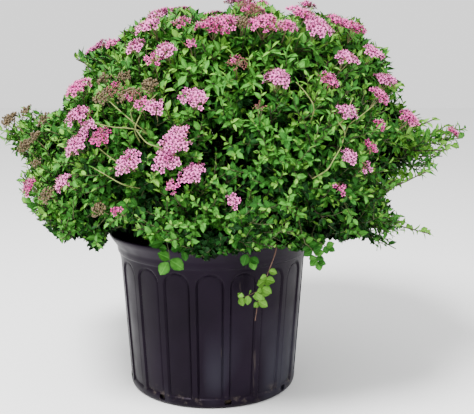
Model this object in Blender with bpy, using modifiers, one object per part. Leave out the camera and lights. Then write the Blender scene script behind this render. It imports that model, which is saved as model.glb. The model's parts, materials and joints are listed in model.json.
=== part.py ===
"""A spirea shrub in its nursery pot, at real size.

The plant is built the way it grows: a black pot filled with potting mix, a short woody crown at its
surface, boughs that fan out from that crown, and the foliage mass that each bough carries. A mass keeps
to a space of its own: inside a lobe of the crown and on its own side of the planes between the lobes.
Units are metres, +Z is up, the plant is seen from -Y, and the origin is the middle of the pot's underside.
"""
import math
import random

import bmesh
import bpy
from mathutils import Matrix, Quaternion, Vector

COLLECTION_NAME = "spirea_shrub"
GAP = 0.0003
MERGE_DISTANCE = 0.00001
UP = Vector((0, 0, 1))

# Pot
POT_HEIGHT = 0.2163
POT_LIP_RADIUS = 0.141
POT_LIP_FOOT = 0.197
POT_LIP_THICKNESS = 0.003
POT_LIP_EDGE = 0.0052
POT_BAND_RADIUS = 0.1298
POT_SHOULDER_RADIUS = 0.1268
POT_SHOULDER_HEIGHT = 0.187
POT_BASE_RADIUS = 0.1142
POT_BASE_CORNER = 0.004
POT_WALL = 0.004
POT_SIDES = 36
PANEL_COUNT = 18
PANEL_FIRST_ANGLE = math.radians(-90)
PANEL_HALF_ANGLE = math.radians(8)
PANEL_DEPTH = 0.0016
PANEL_FOOT = 0.012
PANEL_TOP = 0.182
PANEL_ARCH_STEPS = 6
PANEL_CUTTER_THICKNESS = 0.012
DRAIN_COUNT = 8
DRAIN_FIRST_ANGLE = math.radians(11.25)
DRAIN_WIDTH = 0.009
DRAIN_HEIGHT = 0.007
DRAIN_ABOVE_FLOOR = 0.001

# Potting mix and the woody crown that stands on it
SOIL_TOP = 0.190
SOIL_DROP_AT_WALL = 0.004
SOIL_FLAT_RADIUS = 0.060
CROWN_KNOB_RADIUS = 0.026
CROWN_KNOB_HEIGHT = 0.212
CROWN_NECK_RADIUS = 0.0255
CROWN_FLARE_RADIUS = 0.036
CROWN_FLARE_HEIGHT = 0.009
CROWN_SIDES = 24
CROWN_ARC_STEPS = 6
HUB = Vector((0, 0, CROWN_KNOB_HEIGHT))

# Boughs
BOUGH_FOOT_RADIUS = 0.0042
BOUGH_TIP_RADIUS = 0.0026
BOUGH_POINTS = 4
BOUGH_LIFT = 0.16
BOUGH_BEND_PLACE = 0.45
BOUGH_SHARE = 0.42

# Rings of lobes: count, azimuth of the first, ring centre along X, ring radius, height of the
# lobes' centres, and their half sizes outwards, sideways and upwards
RINGS = {
    "skirt": (6, -90, 0.000, 0.164, 0.262, (0.096, 0.108, 0.068)),
    "side": (6, -60, 0.010, 0.158, 0.345, (0.104, 0.114, 0.086)),
    "shoulder": (4, -90, 0.032, 0.108, 0.420, (0.108, 0.130, 0.086)),
    "top": (1, 0, 0.050, 0.000, 0.446, (0.116, 0.108, 0.072)),
}

# Lobes that leave their ring's shape: a share of the outward half size, and a rise of the centre
LEAN = {
    ("side", 1): (1.54, -0.010),
    ("side", 4): (1.36, -0.012),
    ("skirt", 1): (1.10, 0.0),
    ("skirt", 2): (1.10, 0.0),
    ("skirt", 4): (1.18, 0.0),
    ("skirt", 5): (1.12, 0.0),
    ("shoulder", 1): (1.00, 0.008),
    ("shoulder", 3): (1.00, -0.005),
}

# Foliage
CROWN_HEART = Vector((0.020, 0.0, 0.270))
SEED = 11
SPACE_MARGIN = 0.0012
CORE_MARGIN = 0.0022
LOBE_SQUARENESS = 2.5
CORE_FACE_SHARE = 0.62
CORE_SIDE_SHARE = 0.93
CORE_CLEAR_OF_BOUGH = 0.007
CORE_FLOOR = 0.232
STEM_RADIUS = 0.0026
STEM_STRAIGHT = 0.0105
TWIG_FOOT_RADIUS = 0.0024
TWIG_TIP_RADIUS = 0.0016
TWIG_SIDES = 3
TWIG_SPREAD = 1.0
TWIG_REACH = 0.72
TWIG_LENGTHS = (0.94, 1.04)
TWIG_TEST_PLACE = 0.7
TWIGS_PER_MASS = 11
LEAVES_PER_TWIG = 2
FORK_SHARE = 0.2
FORK_PLACE = 0.72
FORK_LENGTH = 0.31
FORK_ANGLE = math.radians(38)
LEAF_LENGTH = 0.048
LEAF_LENGTHS = (0.82, 1.06)
LEAF_WIDTH = 0.030
LEAF_BROADEST = 0.48
LEAF_THICKNESS = 0.0024
LEAF_SINK = 0.0010
LEAF_PITCH = 0.010
LEAF_TRIES = 6
LEAF_SHRINK = 0.06
LEAF_SPLAY = math.radians(62)
LEAF_SPLAYS = (0.85, 1.15)
LEAF_UPTURN = 0.3
TIP_LEAF_SPLAY = math.radians(48)
GOLDEN_ANGLE = math.radians(137.508)
HEAD_RADIUS = 0.021
HEAD_TOP_RADIUS = 0.0115
HEAD_HEIGHT = 0.010
HEAD_SINK = 0.002
HEAD_SIDES = 6
HEAD_UPTURN = 0.8
HEAD_LOWEST_AIM = -0.1
LIMB_CLEARANCE = 0.0015
POT_CLEARANCE = 0.0025

# How far each piece may reach, where 1 is the lobe's surface
TWIG_LIMIT = 1.03
LEAF_LIMIT = 1.03
HEAD_LIMIT = 1.14
LONG_SHOOT_LIMIT = 3.0

# Share of the shoots in each ring that end in a flower head
HEAD_SHARE = {"skirt": 0.12, "side": 0.40, "shoulder": 0.75, "top": 0.85}

# Long shoots beyond the lobes: the ring and the index of the mass, and where the tip reaches
LONG_SHOOTS = [
    ("side", 1, (0.302, -0.030, 0.350)),
    ("side", 4, (-0.246, -0.045, 0.352)),
    ("skirt", 1, (0.248, -0.070, 0.216)),
]
LONG_SHOOT_LEAVES = 5

# Trailing shoot, which hangs over the lip at the front right: azimuth, distance from the axis, height
TRAILING_BOUGH_END = (-58.0, 0.1460, 0.2225)
TRAILING_BOUGH_LIFT = 0.04
TRAILING_START = 0.008
TRAILING_DROP = [
    (-60.5, 0.162, 0.212),
    (-63.0, 0.156, 0.186),
    (-65.5, 0.148, 0.158),
    (-66.5, 0.141, 0.124),
]
TRAILING_SPACE = 0.030
TRAILING_TIP_RADIUS = 0.001
TRAILING_LEAF_LENGTH = 0.021
TRAILING_LEAF_LENGTHS = (0.8, 1.1)
TRAILING_LEAF_FORWARD = 0.7
TRAILING_LEAF_OUTWARDS = (0.1, 0.7)
TRAILING_LEAFY_SHARE = 0.62
TRAILING_LEAVES = 9


def clear_scene():
    for item in list(bpy.data.objects):
        bpy.data.objects.remove(item, do_unlink=True)


def new_collection(name):
    group = bpy.data.collections.new(name)
    bpy.context.scene.collection.children.link(group)
    return group


def make_material(name, colour, roughness):
    material = bpy.data.materials.new(name)
    material.use_nodes = True
    shader = material.node_tree.nodes["Principled BSDF"]
    shader.inputs["Base Color"].default_value = (*colour, 1.0)
    shader.inputs["Roughness"].default_value = roughness
    return material


def new_object(name, mesh, group, material=None):
    item = bpy.data.objects.new(name, mesh)
    group.objects.link(item)
    if material:
        mesh.materials.append(material)
    return item


def turned_object(name, profile, sides, group, material):
    """A solid of revolution about the Z axis; the profile runs from the axis, down the outer side, to it."""
    mesh = bpy.data.meshes.new(name)
    edges = [(i, i + 1) for i in range(len(profile) - 1)]
    mesh.from_pydata([(radius, 0.0, height) for radius, height in profile], edges, [])
    item = new_object(name, mesh, group, material)
    screw = item.modifiers.new("turn", "SCREW")
    screw.steps = sides
    screw.render_steps = sides
    screw.use_merge_vertices = True
    screw.merge_threshold = MERGE_DISTANCE
    return item


def on_axis(radius, angle, height):
    return Vector((radius * math.cos(angle), radius * math.sin(angle), height))


# Pot


def wall_radius(height):
    """Outer radius of the ribbed wall at a height."""
    share = height / POT_SHOULDER_HEIGHT
    return POT_BASE_RADIUS + share * (POT_SHOULDER_RADIUS - POT_BASE_RADIUS)


def pot_profile():
    """Inside from the floor up, over the flared lip, and down the band, the ribbed wall and the corner."""
    floor = POT_WALL
    return [
        (0.0, floor),
        (wall_radius(floor) - POT_WALL, floor),
        (POT_BAND_RADIUS - POT_WALL, POT_LIP_FOOT),
        (POT_LIP_RADIUS - POT_LIP_THICKNESS, POT_HEIGHT),
        (POT_LIP_RADIUS - 0.0008, POT_HEIGHT),
        (POT_LIP_RADIUS, POT_HEIGHT - 0.0018),
        (POT_LIP_RADIUS - 0.0012, POT_HEIGHT - POT_LIP_EDGE),
        (POT_BAND_RADIUS, POT_LIP_FOOT),
        (POT_BAND_RADIUS - 0.0010, POT_SHOULDER_HEIGHT + 0.0016),
        (POT_SHOULDER_RADIUS, POT_SHOULDER_HEIGHT),
        (wall_radius(POT_BASE_CORNER * 2), POT_BASE_CORNER * 2),
        (POT_BASE_RADIUS - POT_BASE_CORNER, 0.0),
        (0.0, 0.0),
    ]


def panel_outline():
    """Half of an arched panel as (share of the half width, height), from the foot to the arch's top."""
    rise = wall_radius(PANEL_TOP) * math.sin(PANEL_HALF_ANGLE)
    spring = PANEL_TOP - rise
    outline = [(1.0, PANEL_FOOT)]
    for step in range(PANEL_ARCH_STEPS // 2 + 1):
        turn = math.pi * step / PANEL_ARCH_STEPS
        outline.append((math.cos(turn), spring + rise * math.sin(turn)))
    return outline


def add_panel_cutter(middle_angle, group):
    """A curved slab with the panel's arched outline, whose inner face lies PANEL_DEPTH inside the wall."""
    half = panel_outline()
    outline = half[:-1] + [(0.0, half[-1][1])] + [(-share, height) for share, height in reversed(half[:-1])]
    outline.append((0.0, PANEL_FOOT))
    builder = bmesh.new()
    corners = []
    for share, height in outline:
        angle = middle_angle + share * PANEL_HALF_ANGLE
        corners.append(builder.verts.new(on_axis(wall_radius(height) - PANEL_DEPTH, angle, height)))
    ridge_top = len(half) - 1
    ridge_foot = len(outline) - 1
    builder.faces.new(corners[0:ridge_top + 1] + [corners[ridge_foot]])
    builder.faces.new(corners[ridge_top:ridge_foot + 1])
    bmesh.ops.triangulate(builder, faces=builder.faces[:])
    mesh = bpy.data.meshes.new("panel_cutter")
    builder.to_mesh(mesh)
    builder.free()
    cutter = new_object("panel_cutter", mesh, group)
    solid = cutter.modifiers.new("slab", "SOLIDIFY")
    solid.thickness = PANEL_CUTTER_THICKNESS
    solid.offset = 1.0
    return cutter


def add_drain_cutter(angle, group):
    """A small block that notches the pot's bottom corner through to the inside."""
    builder = bmesh.new()
    bmesh.ops.create_cube(builder, size=1.0)
    bmesh.ops.scale(builder, vec=(POT_WALL * 5, DRAIN_WIDTH, DRAIN_HEIGHT), verts=builder.verts[:])
    place = Matrix.Rotation(angle, 4, "Z") @ Matrix.Translation(
        (POT_BASE_RADIUS - POT_WALL / 2, 0, POT_WALL + DRAIN_ABOVE_FLOOR + DRAIN_HEIGHT / 2))
    bmesh.ops.transform(builder, matrix=place, verts=builder.verts[:])
    mesh = bpy.data.meshes.new("drain_cutter")
    builder.to_mesh(mesh)
    builder.free()
    return new_object("drain_cutter", mesh, group)


def hide_as_cutter(item):
    item.hide_render = True
    item.display_type = "WIRE"


def make_pot(group, cutters, material):
    pot = turned_object("pot", pot_profile(), POT_SIDES, group, material)
    for index in range(PANEL_COUNT):
        hide_as_cutter(add_panel_cutter(PANEL_FIRST_ANGLE + math.tau * index / PANEL_COUNT, cutters))
    for index in range(DRAIN_COUNT):
        hide_as_cutter(add_drain_cutter(DRAIN_FIRST_ANGLE + math.tau * index / DRAIN_COUNT, cutters))
    cut = pot.modifiers.new("panels and drain holes", "BOOLEAN")
    cut.operand_type = "COLLECTION"
    cut.collection = cutters
    cut.operation = "DIFFERENCE"
    return pot


def make_soil(group, material):
    inner_foot = wall_radius(POT_WALL) - POT_WALL - GAP * 2
    inner_top = POT_BAND_RADIUS - POT_WALL - GAP * 2
    edge_height = SOIL_TOP - SOIL_DROP_AT_WALL
    slope = (inner_top - inner_foot) / (POT_LIP_FOOT - POT_WALL)
    edge_radius = inner_foot + slope * (edge_height - POT_WALL)
    profile = [(0.0, SOIL_TOP), (SOIL_FLAT_RADIUS, SOIL_TOP), (edge_radius, edge_height),
               (inner_foot, POT_WALL + GAP), (0.0, POT_WALL + GAP)]
    return turned_object("potting_mix", profile, POT_SIDES, group, material)


def make_root_crown(group, material):
    """The short woody stem inside the shrub: a flat cut on the mix, a flare, and the knob of old wood."""
    foot = SOIL_TOP + GAP
    profile = [(0.0, CROWN_KNOB_HEIGHT + CROWN_KNOB_RADIUS)]
    for step in range(CROWN_ARC_STEPS - 1, -1, -1):
        turn = math.pi / 2 * step / CROWN_ARC_STEPS
        height = CROWN_KNOB_HEIGHT + CROWN_KNOB_RADIUS * math.sin(turn)
        profile.append((CROWN_KNOB_RADIUS * math.cos(turn), height))
    profile.append((CROWN_NECK_RADIUS, foot + CROWN_FLARE_HEIGHT))
    profile.append((CROWN_FLARE_RADIUS, foot))
    profile.append((0.0, foot))
    return turned_object("root_crown", profile, CROWN_SIDES, group, material)


# Lobes, and the boughs that carry them


def at_azimuth(place):
    degrees, radius, height = place
    return on_axis(radius, math.radians(degrees), height)


def trailing_bough_route():
    return bough_route(at_azimuth(TRAILING_BOUGH_END), TRAILING_BOUGH_LIFT)


def trailing_shoot_route():
    """It leaves its bough's tip straight ahead, bends over the lip and hangs down the pot's wall."""
    bough = trailing_bough_route()
    aim = (bough[-1] - bough[-2]).normalized()
    start = [bough[-1] + aim * GAP, bough[-1] + aim * TRAILING_START]
    return start + [at_azimuth(place) for place in TRAILING_DROP]


class Limbs:
    """Everything that foliage grows round: the boughs' routes, and the trailing shoot with its leaves."""

    def __init__(self, bough_routes, trailing_route):
        self.boughs = bough_routes
        self.trailing = trailing_route

    def clear(self, point):
        limit = BOUGH_FOOT_RADIUS + LIMB_CLEARANCE
        near_bough = any(distance_to_route(point, route) <= limit for route in self.boughs)
        return not near_bough and distance_to_route(point, self.trailing) > TRAILING_SPACE


class Lobe:
    """One rounded part of the crown: the space that a foliage mass fills, and the limb that carries it."""

    def __init__(self, ring, index):
        count, first, centre_x, radius, height, half_sizes = RINGS[ring]
        azimuth = math.radians(first + 360 * index / count)
        self.ring = ring
        self.index = index
        self.name = ring + "_foliage" if count == 1 else "%s_foliage_%d" % (ring, index + 1)
        self.centre = Vector((centre_x, 0, 0)) + on_axis(radius, azimuth, height)
        self.turn = Matrix.Rotation(azimuth, 3, "Z")
        stretch, rise = LEAN.get((ring, index), (1.0, 0))
        self.centre.z += rise
        self.half_sizes = Vector(half_sizes)
        self.half_sizes.x *= stretch
        self.mean_radius = sum(half_sizes) / 3
        self.outwards = (self.centre - CROWN_HEART).normalized()
        towards = self.centre - HUB
        inner_reach = self.reach(-towards.normalized())
        self.bough_end = HUB + towards * (1 - BOUGH_SHARE * inner_reach / towards.length)
        self.bough_route = bough_route(self.bough_end, BOUGH_LIFT)
        self.bough_aim = (self.bough_route[-1] - self.bough_route[-2]).normalized()
        self.walls = []

    def reach(self, direction):
        """Distance from the centre to the lobe's surface in a direction."""
        local = self.turn.transposed() @ direction
        shares = [abs(part) / half for part, half in zip(local, self.half_sizes)]
        return sum(share ** LOBE_SQUARENESS for share in shares) ** (-1 / LOBE_SQUARENESS)

    def level(self, point):
        """0 at the lobe's centre and 1 on its surface."""
        offset = point - self.centre
        if offset.length < 1e-9:
            return 0.0
        return offset.length / self.reach(offset.normalized())

    def core_share(self, direction):
        """How much of the lobe its core fills: least on the crown's outside, where the leaves stand."""
        facing = max(0.0, direction.dot(self.outwards))
        return CORE_SIDE_SHARE + facing * (CORE_FACE_SHARE - CORE_SIDE_SHARE)

    def stands_out(self, point):
        return self.level(point) > self.core_share((point - self.centre).normalized())


def bough_route(end, lift):
    """Points of a limb that leaves the woody knob a little steeply and then leans to its mass."""
    start_aim = ((end - HUB).normalized() + UP * lift).normalized()
    start = HUB + start_aim * CROWN_KNOB_RADIUS
    bend = start + start_aim * (end - start).length * BOUGH_BEND_PLACE
    route = []
    for step in range(BOUGH_POINTS):
        share = step / (BOUGH_POINTS - 1)
        route.append((1 - share) ** 2 * start + 2 * share * (1 - share) * bend + share ** 2 * end)
    route[0] = HUB + (route[1] - HUB).normalized() * (CROWN_KNOB_RADIUS + GAP)
    return route


def make_bough(name, route, group, material):
    """One tapering limb, from the woody knob to where it enters its mass."""
    curve = bpy.data.curves.new(name, "CURVE")
    curve.dimensions = "3D"
    curve.bevel_depth = BOUGH_FOOT_RADIUS
    curve.bevel_resolution = 1
    curve.use_fill_caps = True
    spline = curve.splines.new("POLY")
    spline.points.add(len(route) - 1)
    for step, place in enumerate(route):
        share = step / (len(route) - 1)
        spline.points[step].co = (*place, 1.0)
        spline.points[step].radius = 1 + share * (BOUGH_TIP_RADIUS / BOUGH_FOOT_RADIUS - 1)
    limb = bpy.data.objects.new(name, curve)
    group.objects.link(limb)
    curve.materials.append(material)
    return limb


def nearest_on_segment(point, start, end):
    along = end - start
    share = max(0.0, min(1.0, (point - start).dot(along) / along.length_squared))
    return start + along * share


def nearest_on_route(point, route):
    places = [nearest_on_segment(point, a, b) for a, b in zip(route, route[1:])]
    return min(places, key=lambda place: (place - point).length)


def set_walls(lobe, lobes):
    """Planes that part a lobe from its neighbours, each kept as a point and the direction inwards."""
    for other in lobes:
        if other is lobe:
            continue
        between = other.centre - lobe.centre
        distance = between.length
        share = 0.5 + (lobe.mean_radius ** 2 - other.mean_radius ** 2) / (2 * distance ** 2)
        lobe.walls.append((lobe.centre + between * share, -between.normalized()))


def core_walls(lobe, limbs):
    """The planes that the dense core keeps to: its neighbours' walls, the floor and every limb."""
    walls = [(place + inwards * CORE_MARGIN, inwards) for place, inwards in lobe.walls]
    walls.append((Vector((0, 0, CORE_FLOOR)), UP))
    walls.append((lobe.bough_end + lobe.bough_aim * CORE_CLEAR_OF_BOUGH, lobe.bough_aim))
    for route in limbs.boughs:
        for start, end in zip(route, route[1:]):
            near = nearest_on_segment(lobe.centre, start, end)
            inwards = (lobe.centre - near).normalized()
            walls.append((near + inwards * (BOUGH_FOOT_RADIUS + LIMB_CLEARANCE), inwards))
    return walls


def inside_walls(point, lobe, margin):
    return all((point - place).dot(inwards) > margin for place, inwards in lobe.walls)


def clear_of_pot(point):
    """True where foliage may be: above the lip, or outside the pot's wall."""
    widest = POT_LIP_RADIUS if point.z > POT_LIP_FOOT else POT_BAND_RADIUS
    return point.z > POT_HEIGHT + POT_CLEARANCE or math.hypot(point.x, point.y) > widest + POT_CLEARANCE


def distance_to_route(point, route):
    return (nearest_on_route(point, route) - point).length


# Foliage

SLOT_MATERIALS = ["foliage", "bark", "blossom"]
PIECE_SLOTS = {"core": 0, "leaf": 0, "stem": 1, "twig": 1, "flower_head": 2}


def shape_object(kind, builder, group):
    """A closed piece of a mass, which takes its finish from the slot of its kind."""
    mesh = bpy.data.meshes.new(kind)
    bmesh.ops.recalc_face_normals(builder, faces=builder.faces[:])
    for face in builder.faces:
        face.material_index = PIECE_SLOTS[kind]
    builder.to_mesh(mesh)
    builder.free()
    for name in SLOT_MATERIALS:
        mesh.materials.append(bpy.data.materials[name])
    return new_object(kind, mesh, group)


def frame_along(aim):
    """A rotation that takes +Z to the aim."""
    return aim.to_track_quat("Z", "Y")


def tube_builder(route, foot_radius, tip_radius):
    """A three-sided twig along a route of points; its two ends are flat."""
    builder = bmesh.new()
    angles = [math.tau * side / TWIG_SIDES for side in range(TWIG_SIDES)]
    rings = []
    for step, place in enumerate(route):
        ahead = route[min(step + 1, len(route) - 1)] - route[max(step - 1, 0)]
        turn = frame_along(ahead.normalized())
        radius = foot_radius + (tip_radius - foot_radius) * step / (len(route) - 1)
        rings.append([builder.verts.new(place + turn @ on_axis(radius, angle, 0)) for angle in angles])
    for lower, upper in zip(rings, rings[1:]):
        for side in range(TWIG_SIDES):
            following = (side + 1) % TWIG_SIDES
            builder.faces.new((lower[side], lower[following], upper[following], upper[side]))
    builder.faces.new(rings[0][::-1])
    builder.faces.new(rings[-1])
    return builder


def leaf_corners(root, aim, facing, length):
    """Root, tip, two sides, and the middle of the upper and the lower face, turned to face outwards."""
    start = root - aim * LEAF_SINK
    middle = start + aim * length * LEAF_BROADEST
    side = aim.cross(facing).normalized()
    face = side.cross(aim) * LEAF_THICKNESS / 2
    side = side * LEAF_WIDTH / 2 * length / LEAF_LENGTH
    tip = start + aim * (length + LEAF_SINK)
    return [start, tip, middle + side, middle - side, middle + face, middle - face]


def leaf_builder(corners):
    builder = bmesh.new()
    root, tip, left, right, upper, lower = [builder.verts.new(corner) for corner in corners]
    for end in (root, tip):
        for face in (upper, lower):
            for side in (left, right):
                builder.faces.new((end, face, side))
    return builder


def head_builder(place, aim):
    """A flower head: a low dome with a flat underside."""
    builder = bmesh.new()
    bmesh.ops.create_cone(builder, segments=HEAD_SIDES, radius1=HEAD_RADIUS, radius2=HEAD_TOP_RADIUS,
                          depth=HEAD_HEIGHT, cap_ends=True)
    turn = frame_along(aim).to_matrix().to_4x4()
    bmesh.ops.transform(builder, matrix=Matrix.Translation(place) @ turn, verts=builder.verts[:])
    return builder


def core_builder(lobe, walls):
    """The dense inside of a mass: a ball pressed against the planes and the lobe's own surface."""
    builder = bmesh.new()
    bmesh.ops.create_icosphere(builder, subdivisions=2, radius=1.0)
    for corner in builder.verts:
        direction = corner.co.normalized()
        distance = lobe.reach(direction) * lobe.core_share(direction)
        for place, inwards in walls:
            closing = -direction.dot(inwards)
            if closing > 1e-6:
                distance = min(distance, (lobe.centre - place).dot(inwards) / closing)
        corner.co = lobe.centre + direction * distance
    return builder


def shoot_aims(lobe):
    """Directions of the twigs from the lobe's centre, spread evenly over the outer side of the lobe."""
    aims = []
    for step in range(TWIGS_PER_MASS):
        height = 1 - TWIG_SPREAD * (step + 0.5) / TWIGS_PER_MASS
        angle = GOLDEN_ANGLE * (step + lobe.index * 3 + 1)
        aim = Vector((math.sqrt(1 - height * height) * math.cos(angle),
                      math.sqrt(1 - height * height) * math.sin(angle), height))
        aims.append(lobe.outwards.to_track_quat("Z", "Y") @ aim)
    return aims


def allowed(points, lobe, limbs, limit):
    """True where every point is in the lobe's space, and clear of the pot and the limbs."""
    return all(lobe.level(point) < limit and inside_walls(point, lobe, SPACE_MARGIN) and clear_of_pot(point)
               and limbs.clear(point) for point in points)


def leaf_fits(corners, lobe, limbs, limit):
    """True where a leaf stands out of the core and keeps to its space, tested at points all over it."""
    root, tip, left, right = corners[:4]
    middles = [a.lerp(b, 0.5) for a in (root, tip) for b in (left, right)]
    stands_out = lobe.stands_out(tip) and lobe.stands_out(root.lerp(tip, 0.5))
    return stands_out and allowed(corners + middles + [root.lerp(tip, 0.5)], lobe, limbs, limit)


def add_leaves(lobe, start, tip, limbs, rule, group, limit=LEAF_LIMIT, leaves=LEAVES_PER_TWIG):
    """One leaf at the twig's tip and the others spiralling down it; leaves that don't fit are left out."""
    added = 0
    along = (tip - start).normalized()
    facing = ((tip - lobe.centre).normalized() + UP * LEAF_UPTURN).normalized()
    side = along.orthogonal().normalized()
    first_turn = rule.uniform(0, math.tau)
    for number in range(leaves + 1):
        splay = LEAF_SPLAY * rule.uniform(*LEAF_SPLAYS) if number else TIP_LEAF_SPLAY
        root = tip - along * LEAF_PITCH * number
        length = LEAF_LENGTH * rule.uniform(*LEAF_LENGTHS)
        for attempt in range(LEAF_TRIES):
            turn = first_turn + GOLDEN_ANGLE * number + math.tau * attempt / LEAF_TRIES
            turned = Quaternion(along, turn) @ side
            aim = (along * math.cos(splay) + turned * math.sin(splay)).normalized()
            corners = leaf_corners(root, aim, facing, length * (1 - LEAF_SHRINK * attempt))
            if leaf_fits(corners, lobe, limbs, limit):
                shape_object("leaf", leaf_builder(corners), group)
                added += 1
                break
    return added


def add_head(lobe, tip, aim, limbs, group):
    """A flower head on a twig's tip, turned towards the light."""
    face = (aim + UP * HEAD_UPTURN).normalized()
    place = tip + face * (HEAD_HEIGHT / 2 - HEAD_SINK)
    turn = frame_along(face)
    angles = [math.tau * side / HEAD_SIDES for side in range(HEAD_SIDES)]
    corners = [place + turn @ on_axis(HEAD_RADIUS, angle, 0) for angle in angles]
    if allowed(corners, lobe, limbs, HEAD_LIMIT):
        shape_object("flower_head", head_builder(place, face), group)
        return True
    return False


def add_twig(lobe, start, aim, length, limbs, rule, group, forks):
    """A twig with its leaves and its flower head, and the side twig that may fork from it."""
    tip = start + aim * length
    if not allowed([start.lerp(tip, TWIG_TEST_PLACE), tip], lobe, limbs, TWIG_LIMIT):
        return
    flowers = rule.random() < HEAD_SHARE[lobe.ring] and aim.z > HEAD_LOWEST_AIM
    bears_head = flowers and add_head(lobe, tip, aim, limbs, group)
    leaf_tip = tip - aim * LEAF_PITCH if bears_head else tip
    if add_leaves(lobe, start, leaf_tip, limbs, rule, group) or bears_head:
        shape_object("twig", tube_builder([start, tip], TWIG_FOOT_RADIUS, TWIG_TIP_RADIUS), group)
    elif not forks:
        return
    if forks and rule.random() < FORK_SHARE:
        side = Quaternion(aim, rule.uniform(0, math.tau)) @ aim.orthogonal().normalized()
        fork_aim = (aim * math.cos(FORK_ANGLE) + side * math.sin(FORK_ANGLE)).normalized()
        fork = start + aim * length * FORK_PLACE
        add_twig(lobe, fork, fork_aim, length * FORK_LENGTH, limbs, rule, group, forks=False)


def add_long_shoot(lobe, tip, limbs, rule, group):
    """A shoot that grows out beyond its lobe, with leaves along its free end."""
    tip = Vector(tip)
    shape_object("twig", tube_builder([lobe.centre, tip], TWIG_FOOT_RADIUS, TWIG_TIP_RADIUS), group)
    add_leaves(lobe, lobe.centre, tip, limbs, rule, group, limit=LONG_SHOOT_LIMIT, leaves=LONG_SHOOT_LEAVES)


def keep_largest_body(mesh):
    """Keep the outer skin of the largest body: hollows sealed by the union are filled, scraps dropped."""
    builder = bmesh.new()
    builder.from_mesh(mesh)
    unseen = set(builder.faces)
    bodies = []
    while unseen:
        queue = [unseen.pop()]
        body = list(queue)
        while queue:
            for edge in queue.pop().edges:
                for face in edge.link_faces:
                    if face in unseen:
                        unseen.remove(face)
                        queue.append(face)
                        body.append(face)
        bodies.append(body)
    bodies.sort(key=len, reverse=True)
    scrap = [face for body in bodies[1:] for face in body]
    bmesh.ops.delete(builder, geom=scrap, context="FACES")
    builder.to_mesh(mesh)
    builder.free()


def fuse(name, core, parts, group):
    """Join the pieces of a mass to its core in one Boolean union, and remove the pieces."""
    union = core.modifiers.new("fuse", "BOOLEAN")
    union.operand_type = "COLLECTION"
    union.collection = parts
    union.operation = "UNION"
    union.solver = "MANIFOLD"
    bpy.context.view_layer.update()
    evaluated = core.evaluated_get(bpy.context.evaluated_depsgraph_get())
    mesh = bpy.data.meshes.new_from_object(evaluated)
    mesh.name = name
    keep_largest_body(mesh)
    for item in list(parts.objects) + [core]:
        bpy.data.objects.remove(item, do_unlink=True)
    return new_object(name, mesh, group)


def make_mass(lobe, limbs, group, parts):
    """The foliage that one bough carries: a dense core, its twigs, leaves and flower heads, fused."""
    rule = random.Random("%s %d" % (lobe.name, SEED))
    core = shape_object("core", core_builder(lobe, core_walls(lobe, limbs)), bpy.context.scene.collection)
    stem_start = lobe.bough_end + lobe.bough_aim * GAP
    stem_bend = lobe.bough_end + lobe.bough_aim * STEM_STRAIGHT
    shape_object("stem", tube_builder([stem_start, stem_bend, lobe.centre], STEM_RADIUS, STEM_RADIUS), parts)
    for aim in shoot_aims(lobe):
        length = lobe.reach(aim) * TWIG_REACH * rule.uniform(*TWIG_LENGTHS)
        add_twig(lobe, lobe.centre, aim, length, limbs, rule, parts, forks=True)
    for ring, index, tip in LONG_SHOOTS:
        if (ring, index) == (lobe.ring, lobe.index):
            add_long_shoot(lobe, tip, limbs, rule, parts)
    return fuse(lobe.name, core, parts, group)


def point_on_route(route, share):
    """The point at a share of the route's length, and the route's direction there."""
    lengths = [(b - a).length for a, b in zip(route, route[1:])]
    left = share * sum(lengths)
    for start, end, length in zip(route, route[1:], lengths):
        if left <= length or end is route[-1]:
            return start + (end - start) * left / length, (end - start).normalized()
        left -= length


def make_trailing_shoot(route, group, parts):
    """The shoot that hangs over the lip, with its small leaves turned away from the pot."""
    rule = random.Random(SEED)
    twig = shape_object("twig", tube_builder(route, TWIG_TIP_RADIUS, TRAILING_TIP_RADIUS),
                        bpy.context.scene.collection)
    for number in range(TRAILING_LEAVES):
        share = 1 - TRAILING_LEAFY_SHARE * number / TRAILING_LEAVES
        root, along = point_on_route(route, share)
        outwards = Vector((root.x, root.y, 0)).normalized()
        sideways = along.cross(outwards).normalized() * (1 if number % 2 else -1)
        forward = along * TRAILING_LEAF_FORWARD + outwards * rule.uniform(*TRAILING_LEAF_OUTWARDS)
        aim = (forward + sideways).normalized()
        length = TRAILING_LEAF_LENGTH * rule.uniform(*TRAILING_LEAF_LENGTHS)
        shape_object("leaf", leaf_builder(leaf_corners(root, aim, outwards, length)), parts)
    return fuse("trailing_shoot", twig, parts, group)


def main():
    clear_scene()
    group = new_collection(COLLECTION_NAME)
    cutters = new_collection("pot_cutters")
    parts = new_collection("foliage_pieces")
    plastic = make_material("pot plastic", (0.020, 0.016, 0.022), 0.42)
    mix = make_material("potting mix", (0.030, 0.020, 0.014), 0.95)
    bark = make_material("bark", (0.14, 0.08, 0.045), 0.80)
    make_material("foliage", (0.06, 0.19, 0.03), 0.50)
    make_material("blossom", (0.62, 0.16, 0.34), 0.60)
    make_pot(group, cutters, plastic)
    make_soil(group, mix)
    make_root_crown(group, bark)
    lobes = [Lobe(ring, index) for ring in RINGS for index in range(RINGS[ring][0])]
    trailing_bough = trailing_bough_route()
    limbs = Limbs([lobe.bough_route for lobe in lobes] + [trailing_bough], trailing_shoot_route())
    for lobe in lobes:
        make_bough(lobe.name.replace("foliage", "bough"), lobe.bough_route, group, bark)
        set_walls(lobe, lobes)
    make_bough("trailing_bough", trailing_bough, group, bark)
    make_trailing_shoot(limbs.trailing, group, parts)
    for lobe in lobes:
        make_mass(lobe, limbs, group, parts)


main()
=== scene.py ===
# %% [markdown]
# # A spirea shrub in its nursery pot
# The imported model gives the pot, the woody crown, the boughs and the space of each foliage mass.
# This script dresses them: a moulded plastic pot, a lumpy potting mix, bark, and a crown of twigs,
# leaves and flower heads that grow on from the same boughs. Everything is in metres, with +Z up.

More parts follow.
